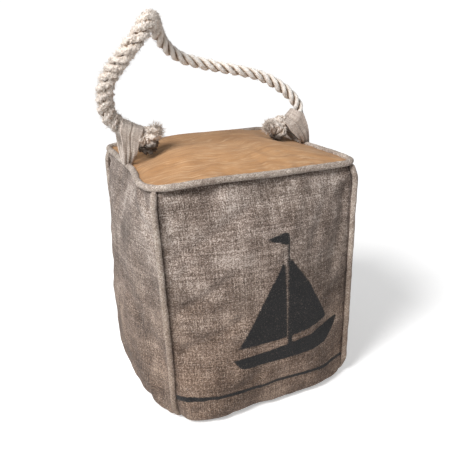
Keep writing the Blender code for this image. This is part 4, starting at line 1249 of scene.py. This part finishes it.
tie = piece("sack_tie", [tube(path, path * np.array((1, 1, 0)), tie_radius * 0.62, sides=10)],
            CORD_MATERIAL, weld=True)
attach(tie, "bag")
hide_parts("liner_tie")

# ---- Wadding ----------------------------------------------------------------------------
# A pad of polyester wadding that lies over the sack and gives the leather its crown. It is
# hollow underneath, where the sack's tied neck stands up into it.

WADDING_MATERIAL = plain_finish("polyester_wadding", (0.78, 0.78, 0.76), (0.90, 0.90, 0.89),
                                600.0, 0.0012, sheen=0.3)
low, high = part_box("fibre_fill")
points = round_block(high.x - 0.004, high.y - 0.004, low.z, high.z - 0.005, 0.034, 3, 0.0010, 171)
plan = np.maximum(np.abs(points[..., 0]), np.abs(points[..., 1])) / high.x
hollow = np.maximum(0.0, neck_z + 0.018 - points[..., 2]) * (1 - eased(plan, 0.2, 0.45))
points[..., 2] += np.where(points[..., 2] < (low.z + high.z) / 2, hollow, 0)
wadding = piece("wadding_pad", [grid_part(points, ring=True)], WADDING_MATERIAL, weld=True)
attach(wadding, "bag")
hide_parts("fibre_fill")

# ---- Floor and light --------------------------------------------------------------------
# A plain pale floor in a bright white room. A broad lamp shines from high on the left, and
# a smaller one stands nearer on the same side, so the light falls off to the right.

FLOOR_GLOW = 0.40             # seen directly, the floor is nearly as white as the room
ROOM_LIGHT = 0.32             # strength of the room on the bag
ROOM_GLOW = 0.75              # and how much brighter the room is, seen directly

floor_mesh = bpy.data.meshes.new("floor")
floor_mesh.from_pydata([(-9, -9, 0), (9, -9, 0), (9, 9, 0), (-9, 9, 0)], [], [(0, 1, 2, 3)])
floor = bpy.data.objects.new("floor", floor_mesh)
scene.collection.objects.link(floor)
floor_material, tree, shader = new_material("floor", 0.8, specular=0.1)
shader.inputs["Base Color"].default_value = (0.88, 0.88, 0.88, 1.0)
shader.inputs["Emission Color"].default_value = (1.0, 1.0, 1.0, 1.0)
seen = add(tree, "ShaderNodeLightPath").outputs["Is Camera Ray"]
tree.links.new(sums(tree, 'MULTIPLY', seen, FLOOR_GLOW), shader.inputs["Emission Strength"])
floor_mesh.materials.append(floor_material)


def lamp(kind, name, place, target, size, power):
    """A soft lamp at a place, turned to face a target: an area lamp, or a broad sun."""
    light = bpy.data.lights.new(name, kind)
    light.energy = power
    if kind == 'SUN':
        light.angle = size
    else:
        light.size = size
    made = bpy.data.objects.new(name, light)
    scene.collection.objects.link(made)
    z_axis = unit(np.array(place) - np.array(target))
    x_axis = unit(np.cross((0.0, 0.0, 1.0), z_axis))
    y_axis = np.cross(z_axis, x_axis)
    made.matrix_world = Matrix([[*row, p] for row, p in zip(
        np.stack((x_axis, y_axis, z_axis), axis=1), place)] + [[0, 0, 0, 1]])
    return made


lamp('SUN', "broad_lamp", (-0.98, -0.38, 1.10), (0.0, 0.0, 0.12), size=math.radians(20), power=2.0)
lamp('AREA', "near_lamp", (-0.38, -0.34, 0.62), (0.0, 0.0, 0.17), size=0.20, power=2.8)
world = bpy.data.worlds.new("room")
world.use_nodes = True
back = world.node_tree.nodes["Background"]
back.inputs["Color"].default_value = (1.0, 1.0, 1.0, 1.0)
seen = add(world.node_tree, "ShaderNodeLightPath").outputs["Is Camera Ray"]
strength = sums(world.node_tree, 'MULTIPLY_ADD', seen, ROOM_GLOW, ROOM_LIGHT)
world.node_tree.links.new(strength, back.inputs["Strength"])
scene.world = world
scene.view_settings.view_transform = 'Standard'
